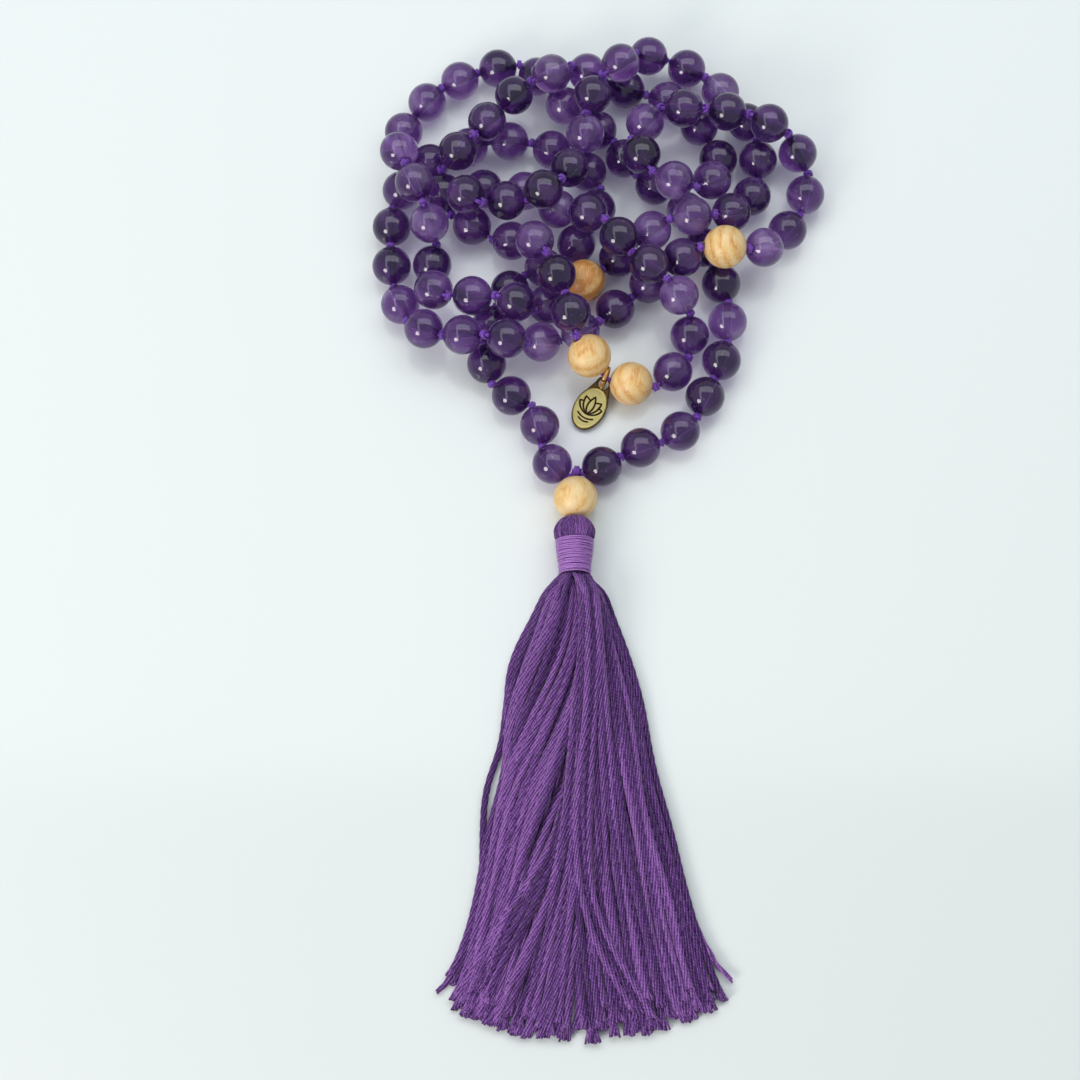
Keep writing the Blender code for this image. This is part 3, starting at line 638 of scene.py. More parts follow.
# Clear stone doesn't block a lamp, so its shadow is a pale violet one.
lets_through = add_node(tree, "ShaderNodeBsdfTransparent", {"Color": colour("#c3c1c9")})
cast = add_node(tree, "ShaderNodeMixShader", {
    "Fac": add_node(tree, "ShaderNodeLightPath").outputs["Is Shadow Ray"],
    1: shader.outputs["BSDF"], 2: lets_through.outputs["BSDF"]})
tree.links.new(cast.outputs["Shader"], tree.nodes["Material Output"].inputs["Surface"])

# %% String the stones
STONE = {"Diameter": BEAD_DIAMETER, "Bore": 1.4 * MM, "Sides": 24, "Rings": 15,
         "Material": amethyst}
draw = np.random.default_rng(11)
stones = [i for i in range(1, len(CENTRES)) if i not in MARKERS]
TONES = {index: draw.random() for index in stones}
front_right = stones[:FRONT_RIGHT_BEADS]
front_left = stones[-FRONT_LEFT_BEADS:]
pile_stones = stones[FRONT_RIGHT_BEADS:-FRONT_LEFT_BEADS]
for index in front_right + front_left:
    TONES[index] *= 0.55        # the stones in front are made darker
runs = sorted(node for node in frame["nodes"] if node.startswith("bead_run"))


def string_stones(name, indices, body, *solids):
    """The stones at these places in the strand."""
    string_beads(name, CENTRES[indices], AXES[indices], [TONES[index] for index in indices],
                 STONE, body, "amethyst", *solids)


string_stones("pile_stones", pile_stones, "pile", *runs)
string_stones("front_left_stones", front_left, "front_strands", "front_run")
for number, index in enumerate(front_right, 1):
    string_stones(f"front_stone_{number}", [index], f"front_bead_{number}",
                  f"front_bead_{number}")

# %% [markdown]
# ## Wood beads
# The markers and the guru bead are turned from a pale close-grained wood such as boxwood and
# rubbed with wax, which leaves a low satin. A turned ball shows every face of the grain:
# nearly straight lines where it was cut along the trunk, rings at its ends, and here and
# there a darker wavy streak.

# %% Waxed wood
wood, tree, shader = new_material("boxwood_turned_waxed")
place = add_node(tree, "ShaderNodeTexCoord").outputs["Object"]
tone = add_node(tree, "ShaderNodeAttribute", attribute_name="tone").outputs["Fac"]
shift = add_node(tree, "ShaderNodeCombineXYZ", {"Y": weigh(tree, (tone, 0.09))})
log = add_node(tree, "ShaderNodeVectorMath",
               {0: place, 1: shift.outputs["Vector"]}, operation="ADD").outputs["Vector"]
# Growth rings of slow wood are about 2 mm apart.
rings = add_node(tree, "ShaderNodeTexWave", {
    "Vector": log, "Scale": wave_scale(1.1), "Distortion": 2.8, "Detail": 2.5,
    "Detail Scale": 0.35, "Detail Roughness": 0.6}, wave_type="RINGS",
    rings_direction="Y").outputs["Fac"]
streaks = add_node(tree, "ShaderNodeTexNoise", {
    "Vector": log, "Scale": texture_scale(4.5), "Detail": 4.0, "Distortion": 1.5}
    ).outputs["Fac"]
fibres = add_node(tree, "ShaderNodeTexNoise", {
    "Vector": add_node(tree, "ShaderNodeVectorMath", {
        0: log, 1: (1.0, 0.12, 1.0)}, operation="MULTIPLY").outputs["Vector"],
    "Scale": texture_scale(0.35), "Detail": 3.0}).outputs["Fac"]
# The first marker is made darker for the shade of the pile around it, a painted shade, and the
# guru bead was cut from a paler place.
painted_pile_shade = add_node(tree, "ShaderNodeMapRange", {
    "Value": tone, "From Min": 0.2, "From Max": 0.4, "To Min": -0.12, "To Max": 0.0})
paler = add_node(tree, "ShaderNodeMapRange", {
    "Value": tone, "From Min": 0.8, "From Max": 0.9, "To Min": 0.0, "To Max": 0.07})
pile_shade_and_pale_wood = weigh(tree, (paler.outputs["Result"], 1.0), start=painted_pile_shade.outputs["Result"])
grain = weigh(tree, (rings, 0.16), (streaks, 0.3), (fibres, 0.46), start=pile_shade_and_pale_wood)
tint = add_node(tree, RAMP, {"Fac": grain}, stops=[
    (0.29, "#cf8d47"), (0.38, "#e6b36c"), (0.48, "#eec788"), (0.62, "#f3d49e")])
bump = add_node(tree, "ShaderNodeBump", {
    "Height": fibres, "Strength": 0.12, "Distance": 0.1 * MM})
set_inputs(tree, shader, {
    "Base Color": tint.outputs["Color"], "Normal": bump.outputs["Normal"], "Roughness": 0.42,
    "Coat Weight": 0.12, "Coat Roughness": 0.3})

# %% Turn the wood beads
WOOD_BEAD = {"Diameter": WOOD_DIAMETER, "Bore": 2.0 * MM, "Sides": 48, "Rings": 31,
             "Material": wood}
for number, index in enumerate(MARKERS, 1):
    string_beads(f"marker_bead_{number}", [CENTRES[index]], [AXES[index]], [number / 5],
                 WOOD_BEAD, f"wood_marker_{number}", "wood", f"wood_marker_{number}")
guru_axis = unit(GURU - CENTRES[0])
string_beads("guru_wood", [GURU], [guru_axis], [0.9], WOOD_BEAD, "guru_bead", "wood",
             "guru_bead")

# %% [markdown]
# ## Knots
# Each knot is an overhand knot pulled tight, so the cord shows as two close turns round
# itself. That is a short spiral, a little wider than the cord, with a round wire swept along
# it. One tree makes it once and puts it at the middle of every link.

# %% Tree for the knots
KNOT_DIAMETER = 2.0 * MM
knot_tree, given, out = new_geometry_tree("overhand_knots", [
    ("Outside", "NodeSocketFloat", KNOT_DIAMETER), ("Strand", "NodeSocketFloat", 0.58 * MM),
    ("Length", "NodeSocketFloat", 0.85 * MM), ("Turns", "NodeSocketFloat", 2.2),
    ("Material", "NodeSocketMaterial", None)])
reach = weigh(knot_tree, (given.outputs["Outside"], 0.5), (given.outputs["Strand"], -0.5))
spiral = add_node(knot_tree, "GeometryNodeCurveSpiral", {
    "Resolution": 9, "Rotations": given.outputs["Turns"], "Start Radius": reach,
    "End Radius": reach, "Height": given.outputs["Length"]})
lowered = add_node(knot_tree, "GeometryNodeTransform", {
    "Geometry": spiral.outputs["Curve"],
    "Translation": add_node(knot_tree, "ShaderNodeCombineXYZ", {
        "Z": weigh(knot_tree, (given.outputs["Length"], -0.5))}).outputs["Vector"]})
wire = add_node(knot_tree, "GeometryNodeCurvePrimitiveCircle", {
    "Resolution": 6, "Radius": weigh(knot_tree, (given.outputs["Strand"], 0.5))})
knot = add_node(knot_tree, "GeometryNodeCurveToMesh", {
    "Curve": lowered.outputs["Geometry"], "Profile Curve": wire.outputs["Curve"],
    "Fill Caps": True})
size = add_node(knot_tree, "GeometryNodeInputNamedAttribute", {"Name": "size"},
                data_type="FLOAT")
put_on_points(knot_tree, given, out, knot.outputs["Mesh"], Scale=size.outputs["Attribute"])


# %% Tie the knots
def knots_at(name, spots, ways, sizes, body, *solids):
    """Knots of these sizes at these places, as one mesh on one body."""
    piece = grow(name, base_points(name, spots, way=ways, size=sizes), knot_tree,
                 {"Material": nylon})
    piece.data.shade_smooth()
    dress(piece, body, "nylon_cord", *solids)


def tie_knots(name, links, body):
    """A knot at the middle of each of these links, which start at these beads."""
    spots, ways, sizes = [], [], []
    for index in links:
        start, end = mouth(index, 1), mouth(index + 1, -1)
        spots.append(link_points(index, index + 1, 1)[0])
        ways.append(unit(end - start))
        sizes.append(draw.uniform(0.92, 1.08))
    knots_at(name, spots, ways, sizes, body)


first_pile_link = FRONT_RIGHT_BEADS
last_pile_link = last_bead - FRONT_LEFT_BEADS
charm_link = MARKERS[1]
tie_knots("pile_knots", [i for i in range(first_pile_link, last_pile_link + 1)
                         if i != charm_link], "pile")
tie_knots("front_knots", list(range(1, first_pile_link))
          + list(range(last_pile_link + 1, last_bead)), "front_strands")
# The gather knot is two knots in one place, across each other.
knots_at("gather_knot_tied", [CENTRES[0], CENTRES[0]], [unit(first_way - last_way), guru_axis],
         [1.25, 1.1], "front_strands", "gather_knot")

# %% [markdown]
# ## The tassel's floss
# The tassel is a hank of six-ply cotton floss. It is folded over a loop of thread, wound
# tight below the fold, and its ends are cut level. Each strand is six plies twisted round
# each other, which from the side is a row of slanted lobes. A star of six points, swept along
# a strand and turned as it goes, has just those lobes, for a dozen faces round.

# %% Six-ply cotton floss
floss, tree, shader = new_material("cotton_floss_six_ply_violet")
along, painted_crest_light, tone, round_cos, round_sin = (
    add_node(tree, "ShaderNodeAttribute", attribute_name=name).outputs["Fac"]
    for name in ("along", "painted_crest_light", "tone", "round_cos", "round_sin"))
# Each ply is two yarns twisted together, which cross it every 0.6 mm. The turn of the wave
# from ply to ply comes from the strand's own tree, as a cosine and a sine.
YARN_TURN = 0.6 * MM
cosine, sine = turned(tree, weigh(tree, (along, math.tau / YARN_TURN)))
yarn_relief_and_sheen = weigh(tree, (cosine, round_cos), (sine, weigh(tree, (round_sin, -1.0))))
# Cotton fibres are far finer than this, but streaks 1 mm long are as fine as shows.
streak_place = add_node(tree, "ShaderNodeCombineXYZ", {
    "X": weigh(tree, (along, 1 / MM), (tone, 40.0)), "Y": round_cos, "Z": round_sin})
streak = add_node(tree, "ShaderNodeTexNoise", {
    "Vector": streak_place.outputs["Vector"], "Scale": 1.3, "Detail": 2.0}).outputs["Fac"]
# The plies' crests are lighter and the grooves between them darker, a painted highlight and
# painted shade; the yarns' wave is a faint painted sheen in the colour and a relief in the bump.
cotton = weigh(tree, (yarn_relief_and_sheen, 0.07), (streak, 0.7), (tone, 0.3), (painted_crest_light, 0.44))
dyed = add_node(tree, RAMP, {"Fac": cotton}, stops=[
    (0.34, "#200c33"), (0.72, "#5d357b"), (1.0, "#a873bf")])
bump = add_node(tree, "ShaderNodeBump", {
    "Height": weigh(tree, (yarn_relief_and_sheen, 0.15), start=streak), "Strength": 0.6,
    "Distance": 0.1 * MM})
set_inputs(tree, shader, {
    "Base Color": dyed.outputs["Color"], "Normal": bump.outputs["Normal"], "Roughness": 0.75,
    "Specular IOR Level": 0.25, "Sheen Weight": 0.15, "Sheen Roughness": 0.4})

# %% Tree for strands of floss
strand_tree, given, out = new_geometry_tree("floss_strands", [
    ("Strand", "NodeSocketFloat", 1.3 * MM), ("Plies", "NodeSocketInt", 6),
    ("Groove", "NodeSocketFloat", 0.68), ("Turn Length", "NodeSocketFloat", 13.0 * MM),
    ("Material", "NodeSocketMaterial", None)])
chain = add_node(strand_tree, "GeometryNodeMeshToCurve", {"Mesh": given.outputs["Geometry"]})
down = add_node(strand_tree, "GeometryNodeSplineParameter")
turns = add_node(strand_tree, MATH, (down.outputs["Length"], given.outputs["Turn Length"]),
                 operation="DIVIDE").outputs["Value"]
tilted = add_node(strand_tree, "GeometryNodeSetCurveTilt", {
    "Curve": chain.outputs["Curve"], "Tilt": weigh(strand_tree, (turns, math.tau))})
girth = add_node(strand_tree, "GeometryNodeInputNamedAttribute", {"Name": "girth"},
                 data_type="FLOAT")
sized = add_node(strand_tree, "GeometryNodeSetCurveRadius", {
    "Curve": tilted.outputs["Curve"], "Radius": girth.outputs["Attribute"]})
marked = add_node(strand_tree, "GeometryNodeStoreNamedAttribute", {
    "Geometry": sized.outputs["Curve"], "Name": "along", "Value": down.outputs["Length"]},
    data_type="FLOAT", domain="POINT")
half = weigh(strand_tree, (given.outputs["Strand"], 0.5))
star = add_node(strand_tree, "GeometryNodeCurveStar", {
    "Points": given.outputs["Plies"], "Outer Radius": half,
    "Inner Radius": weigh(strand_tree, (half, given.outputs["Groove"]))})
# Every other point of the star is a ply's crest, and a quarter turn of the yarns' wave lies
# between one point and the next.
# The floss is painted lighter at these crests and darker between them, as painted highlight and
# shade.
index = add_node(strand_tree, "GeometryNodeInputIndex").outputs["Index"]
painted_crest_light = add_node(strand_tree, MATH, (weigh(strand_tree, (index, 1.0), start=1.0), 2.0),
                 operation="MODULO").outputs["Value"]
cosine, sine = turned(strand_tree, weigh(strand_tree, (index, math.pi / 2)))
edge = star.outputs["Curve"]
for label, value in (("painted_crest_light", painted_crest_light), ("round_cos", cosine), ("round_sin", sine)):
    edge = add_node(strand_tree, "GeometryNodeStoreNamedAttribute", {
        "Geometry": edge, "Name": label, "Value": value},
        data_type="FLOAT", domain="POINT").outputs["Geometry"]
tube = add_node(strand_tree, "GeometryNodeCurveToMesh", {
    "Curve": marked.outputs["Geometry"], "Profile Curve": edge, "Fill Caps": True,
    "Scale": add_node(strand_tree, "GeometryNodeInputRadius").outputs["Radius"]})
finish_tree(strand_tree, given, out, tube.outputs["Mesh"])


def spin_floss(name, chains, girths, tones, **values):
    """Strands along chains of points, as one mesh."""
    points, edges, girth, tone = [], [], [], []
    for chain, widths, shade in zip(chains, girths, tones):
        first = len(points)
        points += list(chain)
        edges += [(first + i, first + i + 1) for i in range(len(chain) - 1)]
        girth += list(widths)
        tone += [shade] * len(chain)
    base = base_points(name, points, edges, girth=girth, tone=tone)
    piece = grow(name, base, strand_tree, {"Material": floss, **values})
    piece.data.shade_smooth()
    return piece


# %% [markdown]
# ## Head and wrap
# Strands leave the guru bead's hole, spread over the round of the head and go down under the
# wrap. The wrap is one thread wound round and round, so it is a close spiral, pulled in
# towards its lower end.

# %% Head of the tassel
head_low, head_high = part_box("tassel_head")
wrap_low, wrap_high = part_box("tassel_wrap")
PIVOT = joint_at["tassel_lift"]
NECK_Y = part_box("tassel_skirt")[1][1]
HEAD_RADIUS = (head_high[0] - head_low[0]) / 2
WRAP_START = wrap_high[1] - 1.05 * MM
WRAP_END = wrap_low[1] - 1.1 * MM
HEAD_STRANDS = 38
HEAD_STRAND = 0.82 * MM
# The head's outline from the top to the wrap: out from the axis and down, in millimetres.
# It comes up round the guru bead, which sits in it like a ball in a cup.
HEAD_OUTLINE = [(0.7, 0.7), (1.3, 0.62), (1.9, 0.8), (2.55, 1.2), (3.15, 1.85), (3.6, 2.6),
                (3.85, 3.4), (3.75, 4.5)]
DRAWN_RADIUS = 4.1 * MM         # of the head for which the outline is drawn
guru_foot = GURU[1] - WOOD_DIAMETER / 2


def on_head(share):
    """How far a folded strand is from the axis and how far along y, from top to wrap."""
    place = share * (len(HEAD_OUTLINE) - 1)
    out_by, drop = (np.interp(place, range(len(HEAD_OUTLINE)), line)
                    for line in zip(*HEAD_OUTLINE))
    return (out_by * HEAD_RADIUS / DRAWN_RADIUS) * MM, guru_foot + (0.8 - drop) * MM


def about_axis(out_by, angle, y):
    """The point this far out from the tassel's axis, at this angle round it."""
    return PIVOT.x + out_by * math.cos(angle), y, PIVOT.z + out_by * math.sin(angle)


chains, girths = [], []
for number in range(HEAD_STRANDS):
    angle = math.tau * (number + draw.uniform(-0.15, 0.15)) / HEAD_STRANDS
    lean = draw.uniform(-0.2, 0.2)
    chain = []
    for share in np.linspace(0, 1, 14):
        out_by, y = on_head(share)
        chain.append(about_axis(out_by, angle + lean * (1 - share), y))
    for share in (0.1, 0.4, 0.8):
        out_by = HEAD_RADIUS - 1.1 * MM - share * 0.4 * MM
        chain.append(about_axis(out_by, angle,
                                WRAP_START + (WRAP_END - WRAP_START) * share))
    chains.append(chain)
    girths.append([0.35 + 0.65 * min(1, i / 8) for i in range(14)] + [0.9, 0.8, 0.8])
head = spin_floss("head_floss", chains, girths, draw.random(HEAD_STRANDS),
                  Strand=HEAD_STRAND)
dress(head, "tassel", "cotton_floss")
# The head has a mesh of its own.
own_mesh(head)

# %% A core inside the head
core_profile = [(0.0, guru_foot - 0.9 * MM)]
for share in np.linspace(0.1, 1, 8):
    out_by, y = on_head(share)
    core_profile.append((out_by - 0.3 * MM, y - 0.45 * MM))
core_profile += [(HEAD_RADIUS - 1.2 * MM, WRAP_START - 0.5 * MM),
                 (HEAD_RADIUS - 1.6 * MM, WRAP_END), (0.0, WRAP_END - 1.5 * MM)]


def bridge(shape, ring, further):
    """Faces between two closed rings with as many corners."""
    for i in range(len(ring)):
        j = (i + 1) % len(ring)
        shape.faces.new((ring[i], ring[j], further[j], further[i]))


def mesh_of(shape, name):
    """The finished shape as a mesh, its faces looking out."""
    bmesh.ops.recalc_face_normals(shape, faces=shape.faces)
    mesh = bpy.data.meshes.new(name)
    shape.to_mesh(mesh)
    shape.free()
    return mesh


CORE_SIDES = 32
shape = bmesh.new()
rings = [[shape.verts.new(about_axis(out_by, math.tau * i / CORE_SIDES, y))
          for i in range(CORE_SIDES)] for out_by, y in core_profile[1:-1]]
for (_, y), ring in ((core_profile[0], rings[0]), (core_profile[-1], rings[-1][::-1])):
    tip = shape.verts.new((PIVOT.x, y, PIVOT.z))
    for i in range(CORE_SIDES):
        shape.faces.new((tip, ring[i], ring[(i + 1) % CORE_SIDES]))
for ring, further in zip(rings, rings[1:]):
    bridge(shape, ring, further)
core = add_object("head_core", mesh_of(shape, "head_core"))
core.data.shade_smooth()
core.data.materials.append(floss)
dress(core, "tassel", "cotton_floss", "tassel_head")
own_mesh(core)

# %% The wound wrap
WRAP_THREAD = 0.42 * MM
WRAP_RADIUS = (wrap_high[0] - wrap_low[0]) / 2
WRAP_TAPER = 0.72 * MM
WRAP_PITCH = 0.36 * MM
TURN_POINTS = 32
wrap_turns = (WRAP_START - WRAP_END) / WRAP_PITCH
steps = int(wrap_turns * TURN_POINTS)
wound = []
for i in range(steps + 1):
    share = i / steps
    angle = math.tau * wrap_turns * share
    bulge = 0.10 * MM * math.sin(math.pi * min(1, share * 1.5))
    out_by = WRAP_RADIUS - WRAP_TAPER * share ** 0.8 + bulge
    out_by += 0.03 * MM * math.sin(2.3 * angle / math.tau) - WRAP_THREAD / 2
    wobble = 0.05 * MM * math.sin(angle * 0.37) + 0.03 * MM * math.sin(angle * 1.7)
    wound.append(about_axis(out_by, angle,
                            WRAP_START + (WRAP_END - WRAP_START) * share + wobble))
wrap = spin_floss("wrap_thread", [wound], [[1.0] * len(wound)], [1.0],
                  Strand=WRAP_THREAD, Plies=3, Groove=0.85)
# Wound tight, the floss lies flat and catches more light; its lighter colours are a painted
# sheen.
sheen_floss = repaint(floss, "cotton_floss_wound_painted_sheen", ("#5e3284", "#8a54a9", "#bb82cf"))
tree = sheen_floss.node_tree
set_inputs(tree, tree.nodes["Principled BSDF"], {"Roughness": 0.4, "Specular IOR Level": 0.5})
wrap.data.materials.clear()
wrap.data.materials.append(sheen_floss)
dress(wrap, "tassel", "cotton_floss", "tassel_wrap")

# %% [markdown]
# ## The skirt
# A tassel that has been laid down doesn't fan out evenly. Its strands fall in locks: an even
# fan lies lowest, and on it locks sweep across each other, most of them to the left. Each
# lock is a line of given places for its middle, and a number of strands that share out its
# width. The strands are laid down one after another, and each comes to rest on what already
# lies there. Cotton gives, so the pile is then pressed to the tassel's own round back, which
# is the solid model's: a little higher on each main lock and lower between them.

# %% The tassel's back, by the solid model's rule, in millimetres
HALF_LEFT = [3.2, 5.3, 8.3, 12.2, 13.9, 13.9, 15, 17, 18.8, 20.5, 22.2, 25.3]
HALF_RIGHT = [3.2, 5.6, 8, 10.9, 13.1, 14.1, 15.8, 18.5, 20.5, 22.9, 25.4, 28]
BACK_HEIGHT = [7.8, 7.7, 7.3, 6.7, 5.9, 5.3, 4.9, 4.4, 4.0, 3.5, 3.1, 2.6]
STATIONS = [0, 4.4, 10.7, 19.6, 28.5, 37.4, 45.4, 54.3, 64.1, 73.9, 81.9, 89]
MAIN_LOCKS = [
    (-1, -2, -3.5, -6.5, -9.5, -12, -13, -15, -16.5, -18.5, -20.5, -23),
    (0, 0, 0, -0.5, -2, -3.5, -5, -6, -7.5, -10, -12, -13.5),
    (0.5, 1, 1, 1, 0.5, -0.5, -1.5, -2.5, -3, -4, -5, -5.5),
    (1, 2, 2.5, 2.5, 2, 1, -0.5, -1, 0, 1.5, 3.5, 5),
    (2, 3.5, 5, 6, 6.5, 6.5, 7, 8, 10, 12, 14, 15),
    (3, 4.5, 6, 7.5, 8.5, 9.5, 11, 14, 17, 20, 22.5, 25),
]
BOW = 0.085                     # how much sooner the hem ends at the sides, as a share
EDGE_HEIGHT = 1.2
LOCK_WIDTH = 2.3
LOCK_RELIEF = 0.34
ROWS = np.linspace(-1, 89, 66)
COLUMN_STEP = 0.25
COLUMNS = np.arange(-31, 31, COLUMN_STEP)


def soften(values, rounds):
    """Round off the corners of a chain of values."""
    values = np.array(values, dtype=float)
    for _ in range(rounds):
        values[1:-1] = (values[:-2] + 2 * values[1:-1] + values[2:]) / 4
    return values


def at_rows(values, rounds=12):
    return soften(np.interp(ROWS, STATIONS, values), rounds)


half_left, half_right = at_rows(HALF_LEFT, 4), at_rows(HALF_RIGHT, 4)
half = np.where(COLUMNS < 0, half_left[:, None], half_right[:, None])
crown = np.clip(1 - np.abs(COLUMNS / half) ** 2.6, 0, 1) ** 0.6
lock = np.zeros_like(crown)
for middles in MAIN_LOCKS:
    offset = COLUMNS - at_rows(middles, 4)[:, None]
    lock = np.maximum(lock, np.exp(-(offset / LOCK_WIDTH) ** 2))
back = EDGE_HEIGHT + (at_rows(BACK_HEIGHT, 2)[:, None] - EDGE_HEIGHT) * crown * (
    1 - LOCK_RELIEF * (1 - lock))

# %% Locks of the skirt
SPREAD = [0.42, 0.55, 0.72, 0.88, 0.95, 1, 1, 1, 1, 1, 1.05, 1.12]
FAN_STRANDS = 46
# Each lock: its middle at the stations, from the tassel's axis, and its strands. The last
# ones lie on top.
LOCKS = [
    ([-2.8, -5, -8, -12, -13.6, -14.4, -17.6, -18, -18.2, -20, -22, -24.5], 1),
    ([-2.6, -4.6, -7.6, -11.2, -12.2, -11.9, -12.8, -15, -16.8, -18.5, -20.2, -23.2], 4),
    ([-1.8, -3.1, -4.9, -8.6, -11.2, -11.5, -12, -13.4, -15, -16.8, -18.6, -21.2], 4),
    ([-1, -1.8, -3, -6.6, -10, -11.2, -11.6, -12, -13.4, -15, -16.8, -18.8], 4),
    ([-0.4, -0.6, -1.2, -4.5, -8.6, -10.8, -11, -10.8, -11.8, -13.4, -15, -16.4], 4),
    ([0.4, 0.6, 0.4, -2.2, -6.5, -10, -12.2, -13.8, -15.4, -17.4, -19.4, -22], 4),
    ([0.9, 1.5, 1.8, -0.2, -4, -8, -11.5, -13.6, -15.3, -17.5, -19, -20.5], 4),
    ([1.2, 2.2, 2.8, 1.4, -1.8, -5.5, -8.8, -11.5, -13.5, -15.5, -17, -18], 4),
    ([1.4, 2.6, 3.2, 2.4, 0.4, -2.5, -5.5, -8.5, -11, -13.5, -15.5, -17], 4),
    ([2.5, 4.6, 6.6, 9.2, 11.3, 12.2, 13.9, 16.6, 18.6, 21, 23.5, 26], 4),
    ([2.3, 4, 5.8, 8, 9.9, 11, 12.6, 14.9, 17, 19.2, 21.4, 23.8], 4),
    ([2.1, 3.6, 5.1, 6.8, 8.4, 9.6, 11.2, 13, 15, 17, 19, 21.2], 4),
    ([2, 3.4, 4.8, 6, 7.2, 8.4, 9.6, 11.2, 13, 15, 17.2, 19.4], 4),
    ([1.5, 2.8, 3.6, 3, 1.8, 0.3, -0.8, -3.5, -8.8, -14.2, -18.2, -21.5], 4),
    ([1.4, 2.6, 3.4, 2.8, 1.4, 0, -1, -2.8, -6.5, -11, -14.8, -17.8], 4),
    ([1.2, 2.4, 3.2, 2.6, 1.2, 0.2, -0.4, -1.6, -4.2, -7.8, -11, -13.5], 4),
    ([1.2, 2.3, 3, 2.6, 1.6, 0.8, 0.2, -0.6, -2.2, -4.6, -6.8, -8.5], 4),
    ([1.3, 2.4, 3.2, 3, 2, 1.4, 1, 0.2, -0.6, -1.8, -2.8, -3.6], 3),
    ([1.8, 3.2, 4.2, 5, 5.8, 6.6, 7.6, 9, 10.8, 12.6, 14.4, 16.2], 4),
    ([1.8, 3, 3.8, 4.2, 4.6, 5, 5.6, 6.4, 7.6, 9.4, 11.2, 12.6], 4),
    ([1.7, 2.8, 3.5, 3.6, 3.4, 3.2, 3.4, 3.8, 4.6, 6.4, 8, 9.2], 4),
    ([1.6, 2.6, 3.3, 3.1, 2.4, 1.8, 1.4, 1.2, 1.6, 3, 4.2, 5], 3),
    ([1.6, 2.7, 3.4, 3.2, 2.6, 2, 1.6, 1.4, 2, 6, 11, 14.6], 3),
]
FLOSS_DIAMETER = 1.34           # millimetres, as all numbers of the skirt
PACKED = 0.46                   # half a strand's share of its lock's width
FAN_REACH = 0.95                # of the skirt's half width
FAN_WANDER = 0.5
LOCK_WANDER = 0.4


def wander(size):
    """A slow random swing to left and right down the strand."""
    share = (ROWS - ROWS[0]) / (ROWS[-1] - ROWS[0])
    swing = sum(draw.uniform(-1, 1) * np.sin(math.pi * waves * share + draw.uniform(0, 6.3))
                for waves in (1.5, 3, 5))
    return size * swing * np.clip(ROWS / 12, 0, 1)


# %% Lay the strands down, one after another
fan = []
for number in range(FAN_STRANDS):
    share = (number + 0.5 + draw.uniform(-0.3, 0.3)) / FAN_STRANDS
    fan.append(FAN_REACH * (share * half_right - (1 - share) * half_left)
               + wander(FAN_WANDER))
draw.shuffle(fan)
paths = list(fan)
for middles, strands in LOCKS:
    for number in draw.permutation(strands):
        seat = (number + 0.5) / strands * 2 - 1
        half_width = strands * FLOSS_DIAMETER * PACKED * np.interp(ROWS, STATIONS, SPREAD)
        paths.append(at_rows(middles) + half_width * (seat + draw.uniform(-0.08, 0.08))
                     + wander(LOCK_WANDER))
# Every strand comes out of the wrap, and the skirt swells at once below it.
tuck = np.interp(ROWS, [-1, 0.4, 1.8, 3.2, 4.5, 6, 10.7],
                 [0.52, 0.70, 0.86, 0.97, 1.03, 1.03, 0.97])
neck_radius = np.interp(ROWS, [-1, 0.8, 3], [1.8, 2.3, 3.2])
# Just below the wrap they also change places at random.
JOSTLED_ASIDE = 1.5
jostle = np.interp(ROWS, [-1, 0.4, 1.8, 3.2, 4.5, 6], [1, 0.8, 0.4, 0.15, 0.04, 0])
paths = [path * tuck * (1 - 0.45 * jostle)
         + jostle * draw.uniform(-JOSTLED_ASIDE, JOSTLED_ASIDE) for path in paths]
girth = np.interp(ROWS, [0, 3, 12, 90], [0.62, 0.72, 1, 1])
radius = FLOSS_DIAMETER / 2 * girth
SETTLED = 0.42                  # of its round top: how far a strand raises the pile
SAG = 0.12                      # a strand's own, each time that it is rounded off
surface = np.zeros((len(ROWS), len(COLUMNS)))
heights = []
for path in paths:
    offset = COLUMNS - path[:, None]
    inside = np.abs(offset) < radius[:, None]
    cap = np.sqrt(np.clip(radius[:, None] ** 2 - offset ** 2, 0, None))
    rest = np.where(inside, surface + cap, 0).max(axis=1)
    for _ in range(3):
        rest = np.maximum(rest - SAG, soften(rest, 6))
    surface = np.where(inside, np.maximum(surface, rest[:, None] + cap * SETTLED), surface)
    heights.append(rest)

